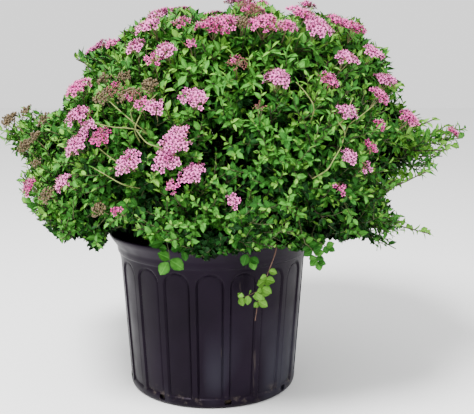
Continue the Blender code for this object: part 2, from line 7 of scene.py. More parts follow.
# %% Load the frame
import json
import math
import random

import bmesh
import bpy
import numpy as np
from mathutils import Matrix, Quaternion, Vector, noise

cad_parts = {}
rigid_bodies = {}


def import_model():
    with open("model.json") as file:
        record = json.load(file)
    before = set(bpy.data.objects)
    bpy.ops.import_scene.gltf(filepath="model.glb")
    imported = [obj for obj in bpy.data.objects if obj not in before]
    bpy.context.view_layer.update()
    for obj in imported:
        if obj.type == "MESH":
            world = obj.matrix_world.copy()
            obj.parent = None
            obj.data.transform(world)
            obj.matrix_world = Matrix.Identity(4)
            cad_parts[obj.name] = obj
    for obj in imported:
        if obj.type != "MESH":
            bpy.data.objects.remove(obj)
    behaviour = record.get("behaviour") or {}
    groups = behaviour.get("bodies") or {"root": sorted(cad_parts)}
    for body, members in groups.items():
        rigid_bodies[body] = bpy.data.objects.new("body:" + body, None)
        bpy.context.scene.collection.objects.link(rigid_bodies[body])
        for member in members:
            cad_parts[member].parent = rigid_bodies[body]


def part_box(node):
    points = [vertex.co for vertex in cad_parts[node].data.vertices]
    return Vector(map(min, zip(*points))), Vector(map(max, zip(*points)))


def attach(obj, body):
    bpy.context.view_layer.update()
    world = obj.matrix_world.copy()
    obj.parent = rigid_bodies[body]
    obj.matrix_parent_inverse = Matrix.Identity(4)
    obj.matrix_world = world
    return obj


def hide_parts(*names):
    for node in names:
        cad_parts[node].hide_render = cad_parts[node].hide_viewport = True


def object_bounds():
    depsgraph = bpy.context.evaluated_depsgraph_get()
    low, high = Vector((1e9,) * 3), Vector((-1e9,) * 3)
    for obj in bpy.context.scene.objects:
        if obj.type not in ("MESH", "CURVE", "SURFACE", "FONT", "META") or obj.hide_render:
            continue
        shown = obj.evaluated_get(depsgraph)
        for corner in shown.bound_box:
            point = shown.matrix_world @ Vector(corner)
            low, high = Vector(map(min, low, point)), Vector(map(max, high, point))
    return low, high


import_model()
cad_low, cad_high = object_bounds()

BODY = "root"
SEED = 11
UP = Vector((0, 0, 1))
print("CAD box", [round(value, 3) for value in (*cad_low, *cad_high)])

# %% [markdown]
# ## Camera, floor and light
# The camera's place was found from the ellipses of the pot's lip and base in the photograph: it stands
# a little over a metre in front of the pot and looks down by about ten degrees. Light comes from a
# large soft panel above and in front, with a pale world all round, so that the shadows stay soft.

# %% Camera
PHOTO_WIDTH = 474
PHOTO_HEIGHT = 414
PHOTO_CENTRE = (PHOTO_WIDTH / 2, PHOTO_HEIGHT / 2)
FOCAL_PIXELS = 833
SENSOR_WIDTH = 36.0
CAMERA_PLACE = Vector((0.0338, -1.12, 0.449))
CAMERA_PITCH = math.radians(10.4)
PITCH_COSINE, PITCH_SINE = math.cos(CAMERA_PITCH), math.sin(CAMERA_PITCH)

camera_data = bpy.data.cameras.new("camera")
camera_data.sensor_width = SENSOR_WIDTH
camera_data.lens = SENSOR_WIDTH * FOCAL_PIXELS / PHOTO_WIDTH
camera_data.dof.use_dof = False
camera_data.clip_start = 0.02
camera = bpy.data.objects.new("camera", camera_data)
camera.location = CAMERA_PLACE
camera.rotation_euler = (math.pi / 2 - CAMERA_PITCH, 0, 0)
bpy.context.scene.collection.objects.link(camera)
bpy.context.scene.camera = camera
print("lens", round(camera_data.lens, 2), "mm")

# %% Floor, world and lights
FLOOR_SIZE = 12.0
FLOOR_DROP = 0.0005
WORLD_STRENGTH = 1.45
# Place, point that it faces, width and watts of each soft light
SOFT_LIGHTS = {
    "key": ((-0.7, -1.2, 2.2), (0, 0, 0.3), 0.8, 172),
    "fill": ((1.6, -0.9, 1.0), (0, 0, 0.2), 1.2, 10),
}


def colour(red, green, blue):
    return (red, green, blue, 1.0)


def principled(name, **values):
    """A material whose shader has these values on its own sockets."""
    material = bpy.data.materials.new(name)
    material.use_nodes = True
    shader = material.node_tree.nodes["Principled BSDF"]
    for key, value in values.items():
        shader.inputs[key.replace("_", " ")].default_value = value
    return material


def add_soft_light(name, place, target, size, watts):
    light = bpy.data.lights.new(name, "AREA")
    light.shape = "DISK"
    light.size = size
    light.energy = watts
    lamp = bpy.data.objects.new(name, light)
    lamp.location = place
    lamp.rotation_euler = (Vector(target) - Vector(place)).to_track_quat("-Z", "Y").to_euler()
    bpy.context.scene.collection.objects.link(lamp)


bpy.ops.mesh.primitive_grid_add(x_subdivisions=8, y_subdivisions=8, size=FLOOR_SIZE,
                                location=(0, 0, -FLOOR_DROP))
floor = bpy.context.object
floor.name = "floor"
floor.data.materials.append(principled("floor paper", Base_Color=colour(0.90, 0.90, 0.90), Roughness=0.9))

world = bpy.data.worlds.new("studio")
world.use_nodes = True
backdrop = world.node_tree.nodes["Background"]
backdrop.inputs["Color"].default_value = colour(1.0, 1.0, 1.0)
backdrop.inputs["Strength"].default_value = WORLD_STRENGTH
bpy.context.scene.world = world

for name, values in SOFT_LIGHTS.items():
    add_soft_light(name, *values)
print("floor and", len(SOFT_LIGHTS), "lights ready")

# %% [markdown]
# ## Helpers
# Most pieces come from numbers: a grid of points joined into faces, or one small shape that is copied
# to thousands of points. The copies are made by Geometry Nodes. The points carry two attributes, a turn
# and a size, and the tree puts the small shape on each point, makes the copies real, and paints them.

# %% Meshes from numbers


def new_piece(name, mesh):
    piece = bpy.data.objects.new(name, mesh)
    bpy.context.scene.collection.objects.link(piece)
    return piece


def discard(*pieces):
    for piece in pieces:
        bpy.data.objects.remove(piece, do_unlink=True)


def mesh_from(name, points, faces, smooth=True):
    mesh = bpy.data.meshes.new(name)
    mesh.from_pydata([tuple(point) for point in points], [], [tuple(face) for face in faces])
    if smooth:
        mesh.shade_smooth()
    mesh.update()
    return mesh


def worked(mesh, *steps):
    """The mesh after some steps on its bmesh, Blender's form of a mesh that can be edited."""
    builder = bmesh.new()
    builder.from_mesh(mesh)
    for step in steps:
        step(builder)
    builder.to_mesh(mesh)
    builder.free()
    return mesh


def weld(distance):
    return lambda builder: bmesh.ops.remove_doubles(builder, verts=builder.verts[:], dist=distance)


def face_outwards(builder):
    bmesh.ops.recalc_face_normals(builder, faces=builder.faces[:])


def add_block(builder, size):
    bmesh.ops.create_cube(builder, size=1.0)
    bmesh.ops.scale(builder, vec=size, verts=builder.verts[:])


def mark_uv(mesh, marks):
    """A UV map with one mark for each point of the mesh."""
    layer = mesh.uv_layers.new(name="UVMap")
    for loop in mesh.loops:
        layer.data[loop.index].uv = marks[loop.vertex_index]


def ride_along(piece, nodes=()):
    """The last step for a piece: it rides on the body and stands for its nodes."""
    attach(piece, BODY)
    if nodes:
        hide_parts(*nodes)
    triangles = sum(len(face.vertices) - 2 for face in piece.data.polygons)
    print("%-24s %7d triangles" % (piece.name, triangles))


# %% Rings, directions and chance


def ring_faces(rows, columns):
    """Quads between closed rows of points, each row with the same number of columns."""
    faces = []
    for row in range(rows - 1):
        for column in range(columns):
            following = (column + 1) % columns
            low, high = row * columns, (row + 1) * columns
            faces.append((low + column, low + following, high + following, high + column))
    return faces


def ring_angles(count):
    return [math.tau * side / count for side in range(count)]


def on_axis(radius, angle, height):
    return Vector((radius * math.cos(angle), radius * math.sin(angle), height))


def jitter(rule, amount):
    return Vector([rule.uniform(-amount, amount) for _ in range(3)])


def bell_jitter(rule, amount):
    return Vector([rule.gauss(0, amount) for _ in range(3)])


def smooth_step(value):
    value = min(1.0, max(0.0, value))
    return value * value * (3 - 2 * value)


# %% Geometry Nodes


def add_node(tree, kind, inputs=(), **settings):
    """A new node. Each input is given a value, or is joined to a socket."""
    node = tree.nodes.new(kind)
    for key, value in settings.items():
        setattr(node, key, value)
    for key, value in dict(inputs).items():
        if isinstance(value, bpy.types.NodeSocket):
            tree.links.new(value, node.inputs[key])
        else:
            node.inputs[key].default_value = value
    return node


def tree_with(name, **inputs):
    """A new tree with these named inputs, and the sockets that bring their values in."""
    tree = bpy.data.node_groups.new(name, "GeometryNodeTree")
    for label, kind in inputs.items():
        tree.interface.new_socket(label, in_out="INPUT", socket_type="NodeSocket" + kind)
    tree.interface.new_socket("Geometry", in_out="OUTPUT", socket_type="NodeSocketGeometry")
    return tree, tree.nodes.new("NodeGroupInput").outputs


def attribute(tree, name, kind):
    node = add_node(tree, "GeometryNodeInputNamedAttribute", {"Name": name}, data_type=kind)
    return node.outputs["Attribute"]


def paint_and_end(tree, geometry, material):
    """Every tree ends the same way: the geometry becomes real, and takes its material."""
    real = add_node(tree, "GeometryNodeRealizeInstances", {"Geometry": geometry})
    paint = add_node(tree, "GeometryNodeSetMaterial", {
        "Geometry": real.outputs["Geometry"], "Material": material})
    add_node(tree, "NodeGroupOutput", {"Geometry": paint.outputs["Geometry"]})
    return tree


def copies_tree():
    tree, given = tree_with("copies on points", Points="Geometry", Shape="Object", Material="Material")
    shape = add_node(tree, "GeometryNodeObjectInfo", {"Object": given["Shape"]})
    placed = add_node(tree, "GeometryNodeInstanceOnPoints", {
        "Points": given["Points"], "Instance": shape.outputs["Geometry"],
        "Rotation": attribute(tree, "turn", "QUATERNION"), "Scale": attribute(tree, "size", "FLOAT_VECTOR")})
    return paint_and_end(tree, placed.outputs["Instances"], given["Material"])


def twigs_tree():
    tree, given = tree_with("twigs along lines", Lines="Geometry", Sides="Int", Material="Material")
    curve = add_node(tree, "GeometryNodeMeshToCurve", {"Mesh": given["Lines"]})
    profile = add_node(tree, "GeometryNodeCurvePrimitiveCircle", {
        "Resolution": given["Sides"], "Radius": 1.0})
    tube = add_node(tree, "GeometryNodeCurveToMesh", {
        "Curve": curve.outputs["Curve"], "Profile Curve": profile.outputs["Curve"],
        "Scale": attribute(tree, "width", "FLOAT"), "Fill Caps": True})
    return paint_and_end(tree, tube.outputs["Mesh"], given["Material"])


COPIES = copies_tree()
TWIGS = twigs_tree()
print("trees:", COPIES.name, "and", TWIGS.name)

# %% Pieces grown by the trees


def grown(name, source, tree, values):
    """Run a tree on a mesh once, and keep the result as a plain mesh in a new piece."""
    holder = new_piece(name + "_source", source)
    modifier = holder.modifiers.new("grow", "NODES")
    modifier.node_group = tree
    for socket in tree.interface.items_tree:
        if socket.name in values:
            modifier[socket.identifier] = values[socket.name]
    mesh = bpy.data.meshes.new_from_object(holder.evaluated_get(bpy.context.evaluated_depsgraph_get()))
    mesh.name = name
    holder.modifiers.remove(modifier)
    discard(holder)
    for leftover in ("turn", "size", "width"):
        if leftover in mesh.attributes:
            mesh.attributes.remove(mesh.attributes[leftover])
    return new_piece(name, mesh)


def set_attribute(mesh, name, kind, values):
    field = "vector" if kind == "FLOAT_VECTOR" else "value"
    mesh.attributes.new(name, kind, "POINT").data.foreach_set(field, np.array(values, np.float32).ravel())


def copies(name, shape, material, places):
    """places is a list of (point, turn, size), with one size for each copy."""
    source = bpy.data.meshes.new(name + "_points")
    source.vertices.add(len(places))
    source.vertices.foreach_set("co", np.array([place for place, _, _ in places], np.float32).ravel())
    set_attribute(source, "turn", "QUATERNION", [tuple(turn) for _, turn, _ in places])
    set_attribute(source, "size", "FLOAT_VECTOR", [(size, size, size) for _, _, size in places])
    return grown(name, source, COPIES, {"Shape": shape, "Material": material})


def facing_turn(aim, normal):
    """The rotation that takes +Y to the aim and +Z as near as can be to the normal."""
    side = aim.cross(normal)
    if side.length < 1e-6:
        side = aim.orthogonal()
    side.normalize()
    face = side.cross(aim).normalized()
    return Matrix((side, aim.normalized(), face)).transposed().to_quaternion()


def twigs_along(name, lines, sides, material):
    """lines is a list of (route, foot radius, tip radius)."""
    points, edges, widths = [], [], []
    for route, foot, tip in lines:
        first = len(points)
        points += [tuple(place) for place in route]
        edges += [(first + step, first + step + 1) for step in range(len(route) - 1)]
        widths += [foot + (tip - foot) * step / (len(route) - 1) for step in range(len(route))]
    source = bpy.data.meshes.new(name + "_lines")
    source.from_pydata(points, edges, [])
    set_attribute(source, "width", "FLOAT", widths)
    return grown(name, source, TWIGS, {"Sides": sides, "Material": material})


# %% [markdown]
# ## Finishes
# Each finish is a small node tree on the piece's own Object coordinates. A pattern that is real on the
# plant, such as the paler midrib of a leaf, reads the leaf's UV map instead, so it follows each copy.

# %% Node helpers for the finishes


class Finish:
    """A material under construction, with short names for the nodes that the finishes share."""

    def __init__(self, name, **values):
        self.material = principled(name, **values)
        self.tree = self.material.node_tree
        self.shader = self.tree.nodes["Principled BSDF"]
        self.place = self.node("ShaderNodeTexCoord").outputs["Object"]

    def node(self, kind, inputs=(), **settings):
        return add_node(self.tree, kind, inputs, **settings)

    def noise(self, scale, detail, stretch=(1, 1, 1), roughness=0.5):
        mapping = self.node("ShaderNodeMapping", {"Vector": self.place, "Scale": stretch})
        return self.node("ShaderNodeTexNoise", {"Vector": mapping.outputs["Vector"], "Scale": scale,
                                                "Detail": detail, "Roughness": roughness}).outputs["Fac"]

    def ramp(self, value, low, high, start=0.0, end=1.0):
        """A value between low and high, spread over start to end."""
        return self.node("ShaderNodeMapRange", {"Value": value, "From Min": low, "From Max": high,
                                                "To Min": start, "To Max": end}).outputs["Result"]

    def math(self, operation, *values):
        return self.node("ShaderNodeMath", enumerate(values), operation=operation).outputs["Value"]

    def mix(self, share, first, second):
        """A colour between two. The Mix node keeps its colour sockets at 6 and 7, and its result at 2."""
        return self.node("ShaderNodeMix", {0: share, 6: first, 7: second}, data_type="RGBA").outputs[2]

    def part(self, vector, axis):
        return self.node("ShaderNodeSeparateXYZ", {"Vector": vector}).outputs[axis]

    def on_blade(self, axis):
        """The share across (X) or along (Y) a leaf or petal, from its UV map."""
        return self.part(self.node("ShaderNodeUVMap").outputs["UV"], axis)

    def set(self, socket, value):
        self.tree.links.new(value, self.shader.inputs[socket])

    def bump(self, height, strength, distance):
        node = self.node("ShaderNodeBump", {"Height": height, "Strength": strength, "Distance": distance})
        self.set("Normal", node.outputs["Normal"])


def mottled(name, dark, light, spots, roughness, strength, distance, relief=None):
    """A matt stuff in two colours. Its spots and its relief are noises, and are often the same one."""
    finish = Finish(name, Roughness=roughness)
    pattern = finish.noise(*spots)
    finish.set("Base Color", finish.mix(finish.ramp(pattern, 0.35, 0.65), colour(*dark), colour(*light)))
    finish.bump(finish.noise(*relief) if relief else pattern, strength, distance)
    return finish.material


print("finish helpers ready")

# %% [markdown]
# The pot is recycled plastic: almost black, with a purple cast. One plain colour would look like a
# computer's, so noise makes it cloudy, a pale bluish sheen is painted over its lower panels as painted
# reflection, dust gathers at its foot, and a few pale scuffs run down it.

# %% Pot plastic
POT_BLACK = colour(0.0024, 0.0013, 0.0032)
POT_PURPLE = colour(0.0062, 0.0032, 0.0084)
# Painted reflection: a pale bluish sheen over the lower panels stands in for reflected light
POT_PAINTED_SHEEN = colour(0.026, 0.026, 0.036)
POT_DUST = colour(0.085, 0.070, 0.058)
POT_GLEAM = colour(0.90, 0.74, 0.96)
PAINTED_SHEEN_HEIGHTS = (0.130, 0.030)
DUST_HEIGHTS = (0.026, 0.002)


def pot_plastic():
    finish = Finish("pot plastic", Roughness=0.36, Specular_IOR_Level=0.085, Specular_Tint=POT_GLEAM)
    body = finish.mix(finish.ramp(finish.noise(9, 3), 0.35, 0.70), POT_BLACK, POT_PURPLE)
    height = finish.part(finish.place, "Z")
    # Cloudy patches of painted sheen, fading out above the lower panels
    sheen_patches = finish.ramp(finish.noise(14, 2, (1, 1, 0.30)), 0.48, 0.72)
    painted_sheen = finish.math("MULTIPLY", finish.ramp(height, *PAINTED_SHEEN_HEIGHTS), sheen_patches)
    body = finish.mix(painted_sheen, body, POT_PAINTED_SHEEN)
    splash = finish.ramp(finish.noise(55, 6, roughness=0.7), 0.55, 0.68)
    dusty = finish.math("MULTIPLY", finish.ramp(height, *DUST_HEIGHTS), splash)
    scuffs = finish.ramp(finish.noise(60, 4, (1, 1, 0.12), roughness=0.65), 0.67, 0.75, 0.0, 0.35)
    finish.set("Base Color", finish.mix(scuffs, finish.mix(dusty, body, POT_DUST), POT_DUST))
    finish.set("Roughness", finish.ramp(finish.noise(30, 4), 0.3, 0.7, 0.30, 0.48))
    finish.bump(finish.noise(420, 2), 0.10, 0.0004)
    return finish.material


# %% [markdown]
# Potting mix, bark and twigs are all a darker and a lighter tone mottled together, with a relief. On
# wood the pattern is stretched along the limb, so that it reads as ridges and furrows.

# %% Potting mix, bark and twigs
EARTH = ((0.010, 0.007, 0.005), (0.055, 0.034, 0.020))
# Furrow, ridge and the scale of the ridges
WOODS = {
    "bark": ((0.045, 0.026, 0.016), (0.20, 0.125, 0.075), 260),
    "bark chip": ((0.035, 0.018, 0.010), (0.15, 0.085, 0.045), 180),
    # Old and young twigs are dark partly by their own colour and partly as painted shade, so the gaps in the
    # crown read dark
    "old twig": ((0.018, 0.012, 0.006), (0.062, 0.045, 0.022), 300),
    "young twig": ((0.022, 0.032, 0.006), (0.070, 0.090, 0.020), 300),
    "pale stem": ((0.085, 0.115, 0.022), (0.190, 0.215, 0.055), 300),
    "red twig": ((0.055, 0.024, 0.014), (0.150, 0.075, 0.045), 300),
    "flower stalk": ((0.090, 0.060, 0.028), (0.170, 0.150, 0.060), 300),
}

earth_finish = mottled("potting mix", *EARTH, (110, 5), 0.95, 0.8, 0.002, relief=(260, 5))
wood = {name: mottled(name, furrow, ridge, (scale, 4, (1, 1, 0.25)), 0.82, 0.6, 0.0008)
        for name, (furrow, ridge, scale) in WOODS.items()}
print("woods:", ", ".join(wood))

# %% [markdown]
# A leaf has a paler midrib and a rim darkened as painted shade, and the leaves of one spray differ a little.
# Five tints give the crown its depth, since the leaves are opaque: shaded and deep are painted shade, bright
# is painted light, young is partly the yellower green of young tips and partly painted light.
# A petal is deeper in colour at its claw and paler at its rim.

# %% Leaves and blossom
# Painted light and shade: shaded and deep darken leaves inside the crown, bright and young lighten leaves
# where light falls
LEAF_TINTS = {
    "shaded": ((0.0006, 0.0040, 0.0004), (0.0020, 0.0110, 0.0012)),
    "deep": ((0.0026, 0.0185, 0.0035), (0.0090, 0.0500, 0.0080)),
    "mid": ((0.0115, 0.0690, 0.0085), (0.0340, 0.1500, 0.0195)),
    "bright": ((0.0310, 0.1430, 0.0145), (0.0780, 0.2620, 0.0360)),
    "young": ((0.0760, 0.2300, 0.0200), (0.1650, 0.3650, 0.0500)),
}
PETAL_TINTS = {
    "pale": ((0.24, 0.002, 0.100), (0.94, 0.200, 0.610)),
    "rose": ((0.17, 0.001, 0.065), (0.80, 0.070, 0.400)),
    "deep": ((0.14, 0.001, 0.045), (0.55, 0.018, 0.230)),
}
BEADS = {
    "floret heart": ((0.012, 0.0006, 0.005), (0.040, 0.0014, 0.014)),
    "stamens": ((0.62, 0.09, 0.32), (0.85, 0.30, 0.55)),
    "buds": ((0.055, 0.014, 0.013), (0.220, 0.060, 0.050)),
    "spent florets": ((0.035, 0.024, 0.008), (0.150, 0.100, 0.040)),
}


def leaf_finish(name, shade, light):
    finish = Finish("leaf " + name, Roughness=0.5, Specular_IOR_Level=0.07)
    from_rib = finish.math("ABSOLUTE", finish.math("SUBTRACT", finish.on_blade("X"), 0.5))
    pale_green = colour(*(min(1.0, part * 1.4 + 0.004) for part in light))
    # Painted shade: the leaf's rim is darkened, as shade falls along the edges of leaves
    painted_rim_shade = colour(*(part * 0.45 for part in shade))
    body = finish.mix(finish.ramp(finish.noise(110, 3), 0.32, 0.68), colour(*shade), colour(*light))
    body = finish.mix(finish.ramp(from_rib, 0.07, 0.0, 0.0, 0.6), body, pale_green)
    finish.set("Base Color", finish.mix(finish.ramp(from_rib, 0.30, 0.5, 0.0, 0.75), body, painted_rim_shade))
    finish.bump(finish.ramp(from_rib, 0.0, 0.12), 0.3, 0.0006)
    return finish.material


def petal_finish(name, claw, rim):
    finish = Finish(name + " petals", Roughness=0.6, Specular_IOR_Level=0.12)
    outer = finish.ramp(finish.on_blade("Y"), 0.35, 0.85)
    finish.set("Base Color", finish.mix(outer, colour(*claw), colour(*rim)))
    finish.bump(finish.noise(900, 2), 0.2, 0.0003)
    return finish.material


leaf_green = {name: leaf_finish(name, *tints) for name, tints in LEAF_TINTS.items()}
petal_pink = {name: petal_finish(name, *tints) for name, tints in PETAL_TINTS.items()}
bead_colour = {name: mottled(name, *tones, (380, 3), 0.6, 0.3, 0.0004, relief=(900, 2))
               for name, tones in BEADS.items()}
print("finishes:", len(bpy.data.materials))

# %% [markdown]
# ## The pot
# A nursery pot is blown or thermoformed from one sheet of plastic: a turned wall with eighteen shallow
# arched panels pressed into it, a plain band above them, and a lip that flares outwards. One grid of
# points, taken round and up the wall, can hold all of it. Each point's radius is the wall's radius less
# the depth of the panel there, and the depth comes from the distance to the panel's arched outline.

# %% Pot measures
POT_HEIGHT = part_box("pot")[1].z
LIP_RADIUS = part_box("pot")[1].x
LIP_FOOT = 0.197
BAND_RADIUS = 0.1298
SHOULDER_RADIUS = 0.1268
SHOULDER_HEIGHT = 0.187
BASE_RADIUS = 0.1142
WALL = 0.004
PANEL_COUNT = 18
PANEL_PITCH = math.tau / PANEL_COUNT
PANEL_FIRST_ANGLE = math.radians(-90)
PANEL_HALF_ANGLE = math.radians(8)
PANEL_DEPTH = 0.0016
PANEL_GROOVE = 0.0010
PANEL_FOOT = 0.012
PANEL_TOP = 0.182
PANEL_EDGE = 0.0016
print("pot", round(POT_HEIGHT, 4), "high,", round(LIP_RADIUS * 2, 4), "across its lip")


def wall_radius(height):
    return BASE_RADIUS + height / SHOULDER_HEIGHT * (SHOULDER_RADIUS - BASE_RADIUS)


def panel_depth(angle, height):
    """How deep the nearest arched panel is pressed in at a place on the wall."""
    nearest = (angle - PANEL_FIRST_ANGLE + PANEL_PITCH / 2) % PANEL_PITCH - PANEL_PITCH / 2
    offset = abs(nearest) * wall_radius(height)
    half = PANEL_HALF_ANGLE * wall_radius(height)
    spring = PANEL_TOP - half
    across = half - (math.hypot(offset, height - spring) if height > spring else offset)
    inside = min(across, height - PANEL_FOOT)
    groove = PANEL_GROOVE * smooth_step(1.0 - abs(inside - PANEL_EDGE * 0.7) / (PANEL_EDGE * 1.1))
    return PANEL_DEPTH * smooth_step(inside / PANEL_EDGE + 0.5) + groove


# %% Pot rings
COLUMN_SHARES = (0.14, 0.28, 0.42, 0.54)
COLUMNS_AT_EDGE = (-0.17, -0.12, -0.085, -0.055, -0.025, 0.005, 0.035, 0.065)
WALL_HEIGHTS = ([0.0105, 0.012, 0.0135] + [0.02 + 0.0138 * step for step in range(11)]
                + [0.1595 + 0.00125 * step for step in range(22)])
# Radius and height of the rings under the panels, and of those over them, round the lip and down inside
FOOT_RINGS = [(0.0, 0.0), (0.060, 0.0012), (0.104, 0.0012), (0.1085, 0.0), (0.1115, 0.0006), (0.1134, 0.0022),
              (0.1142, 0.0045), (wall_radius(0.008), 0.008)]
UPPER_RINGS = [
    (SHOULDER_RADIUS + 0.0002, SHOULDER_HEIGHT), (SHOULDER_RADIUS + 0.0014, 0.1880),
    (BAND_RADIUS - 0.0006, 0.1892), (BAND_RADIUS, 0.1935), (BAND_RADIUS + 0.0002, 0.1960),
    (BAND_RADIUS + 0.0012, 0.1985), (LIP_RADIUS - 0.0030, 0.2080), (LIP_RADIUS - 0.0010, 0.2112),
    (LIP_RADIUS, 0.2134), (LIP_RADIUS, 0.2150), (LIP_RADIUS - 0.0006, 0.2160),
    (LIP_RADIUS - 0.0016, POT_HEIGHT), (LIP_RADIUS - 0.0028, 0.2158), (LIP_RADIUS - 0.0036, 0.2146),
    (LIP_RADIUS - 0.0050, 0.2110), (BAND_RADIUS - WALL + 0.0008, 0.1990), (BAND_RADIUS - WALL, 0.1960),
    (wall_radius(0.12) - WALL, 0.12), (wall_radius(0.05) - WALL, 0.05),
    (wall_radius(WALL) - WALL - 0.0005, WALL + 0.002), (wall_radius(WALL) - WALL - 0.003, WALL), (0.0, WALL),
]
POT_WOBBLE = 0.00035
WOBBLE_FROM = 0.05
LIP_TRIM = 0.0004
print(len(FOOT_RINGS) + len(WALL_HEIGHTS) + len(UPPER_RINGS), "rings")

# %% Pot mesh


def pot_angles():
    """Columns round the pot, closest together at the two upright edges of each panel."""
    edge = PANEL_HALF_ANGLE / (PANEL_PITCH / 2)
    shares = [0.0, *COLUMN_SHARES, *(edge + step for step in COLUMNS_AT_EDGE), 1.0]
    around = [-share for share in reversed(shares[1:-1])] + shares
    return [PANEL_FIRST_ANGLE + PANEL_PITCH * (panel + share / 2)
            for panel in range(PANEL_COUNT) for share in around]


def pot_point(radius, angle, height):
    """A point of the wall. Moulded plastic is never quite round, so it wobbles by a third of a millimetre."""
    spot = Vector((1.6 * math.cos(angle), 1.6 * math.sin(angle), height * 9))
    wobble = POT_WOBBLE * noise.noise(spot) if radius > WOBBLE_FROM else 0.0
    return on_axis(radius + wobble - (LIP_TRIM if radius > LIP_RADIUS - 0.001 else 0), angle, height)


def make_pot_mesh():
    angles = pot_angles()
    points = [pot_point(radius, angle, height) for radius, height in FOOT_RINGS for angle in angles]
    points += [pot_point(wall_radius(height) - panel_depth(angle, height), angle, height)
               for height in WALL_HEIGHTS for angle in angles]
    points += [pot_point(radius, angle, height) for radius, height in UPPER_RINGS for angle in angles]
    faces = ring_faces(len(points) // len(angles), len(angles))
    return worked(mesh_from("pot_moulded", points, faces), weld(0.00001), face_outwards)


pot = new_piece("pot_moulded", make_pot_mesh())
print("pot wall:", len(pot.data.vertices), "points")

# %% [markdown]
# Water leaves through eight small notches at the foot of the wall. Each is cut by a rounded block with
# a Boolean, the usual way to open a hole in a closed wall.

# %% Drain holes
DRAIN_COUNT = 8
DRAIN_FIRST_ANGLE = math.radians(11.25)
DRAIN_SIZE = (WALL * 5, 0.009, 0.007)
DRAIN_LIFT = WALL + 0.001
DRAIN_ROUNDING = 0.0016
SHARP_ANGLE = math.radians(50)


def drain_cutter(index):
    """A rounded block where one notch is to be."""
    turn = Matrix.Rotation(DRAIN_FIRST_ANGLE + math.tau * index / DRAIN_COUNT, 4, "Z")
    place = Matrix.Translation((BASE_RADIUS - WALL / 2, 0, DRAIN_LIFT + DRAIN_SIZE[2] / 2))

    def rounded(builder):
        add_block(builder, DRAIN_SIZE)
        bmesh.ops.bevel(builder, geom=builder.edges[:], offset=DRAIN_ROUNDING, segments=3, affect="EDGES",
                        profile=0.5)
        bmesh.ops.transform(builder, matrix=turn @ place, verts=builder.verts[:])

    return bpy.data.objects.new("drain_cutter", worked(bpy.data.meshes.new("drain_cutter"), rounded))


def cut_drain_holes(piece):
    cutters = bpy.data.collections.new("drain cutters")
    bpy.context.scene.collection.children.link(cutters)
    for index in range(DRAIN_COUNT):
        cutters.objects.link(drain_cutter(index))
    cut = piece.modifiers.new("drain holes", "BOOLEAN")
    cut.operand_type = "COLLECTION"
    cut.collection = cutters
    piece.data = bpy.data.meshes.new_from_object(piece.evaluated_get(bpy.context.evaluated_depsgraph_get()))
    piece.modifiers.remove(cut)
    discard(*cutters.objects)
    bpy.data.collections.remove(cutters)


cut_drain_holes(pot)
pot.data.materials.clear()
pot.data.materials.append(pot_plastic())
pot.data.shade_smooth()
pot.data.set_sharp_from_angle(angle=SHARP_ANGLE)
ride_along(pot, ["pot"])

# %% [markdown]
# ## The potting mix
# The mix is a plug that fills the pot to a finger's width below its lip. Its top is the only part that
# shows, so that is a fine grid pushed up and down by noise, with chips of bark strewn over it.

# %% Potting mix
MIX_FOOT, MIX_TOP = (corner.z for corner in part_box("potting_mix"))
MIX_SIDES = 96
MIX_RINGS = 26
MIX_DROP = 0.004
MIX_LUMPS = 0.0022
MIX_NOISES = ((75, 1.7), (190, 4.1))
MIX_FLAT = 0.06
MIX_RIM_GAP = 0.0007
MIX_FOOT_GAP = 0.0012


def mix_height(radius, angle):
    """The top of the mix: it slopes a little to the rim, and two noises make coarse and fine lumps."""
    coarse, fine = (noise.noise(on_axis(radius * scale, angle, seed)) for scale, seed in MIX_NOISES)
    slope = MIX_DROP * smooth_step((radius - MIX_FLAT) / MIX_FLAT)
    return MIX_TOP - slope - MIX_LUMPS * 0.6 + MIX_LUMPS * (coarse + 0.5 * fine)


def make_mix_mesh():
    rim = wall_radius(MIX_TOP) - WALL - MIX_RIM_GAP
    foot = wall_radius(MIX_FOOT) - WALL - MIX_FOOT_GAP
    angles = ring_angles(MIX_SIDES)
    radii = [rim * ring / MIX_RINGS for ring in range(1, MIX_RINGS + 1)]
    points = [on_axis(radius, angle, mix_height(radius, angle)) for radius in radii for angle in angles]
    points += [on_axis(foot, angle, MIX_FOOT) for angle in angles]
    faces = [face[::-1] for face in ring_faces(MIX_RINGS + 1, MIX_SIDES)]
    top, bottom = len(points), len(points) + 1
    points += [Vector((0, 0, mix_height(0, 0))), Vector((0, 0, MIX_FOOT))]
    last = MIX_RINGS * MIX_SIDES
    for side in range(MIX_SIDES):
        following = (side + 1) % MIX_SIDES
        faces += [(top, side, following), (bottom, last + following, last + side)]
    return worked(mesh_from("potting_mix_lumps", points, faces), face_outwards)


earth = new_piece("potting_mix_lumps", make_mix_mesh())
earth.data.materials.append(earth_finish)
ride_along(earth, ["potting_mix"])

# %% Bark chips on the mix
CHIP_COUNT = 520
CHIP_LENGTH = 0.009
CHIP_SHARES = (0.45, 1.0, 0.22)
CHIP_WARP = 0.09
CHIP_CLEARANCE = 0.004
CHIP_RIM_GAP = 0.006
CROWN_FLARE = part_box("root_crown")[1].x


def chip_shape():
    """A splinter of bark: a block with every corner moved a little."""
    rule = random.Random(SEED)

    def splinter(builder):
        add_block(builder, CHIP_SHARES)
        for corner in builder.verts:
            corner.co += jitter(rule, CHIP_WARP)

    return new_piece("chip", worked(bpy.data.meshes.new("chip"), splinter))


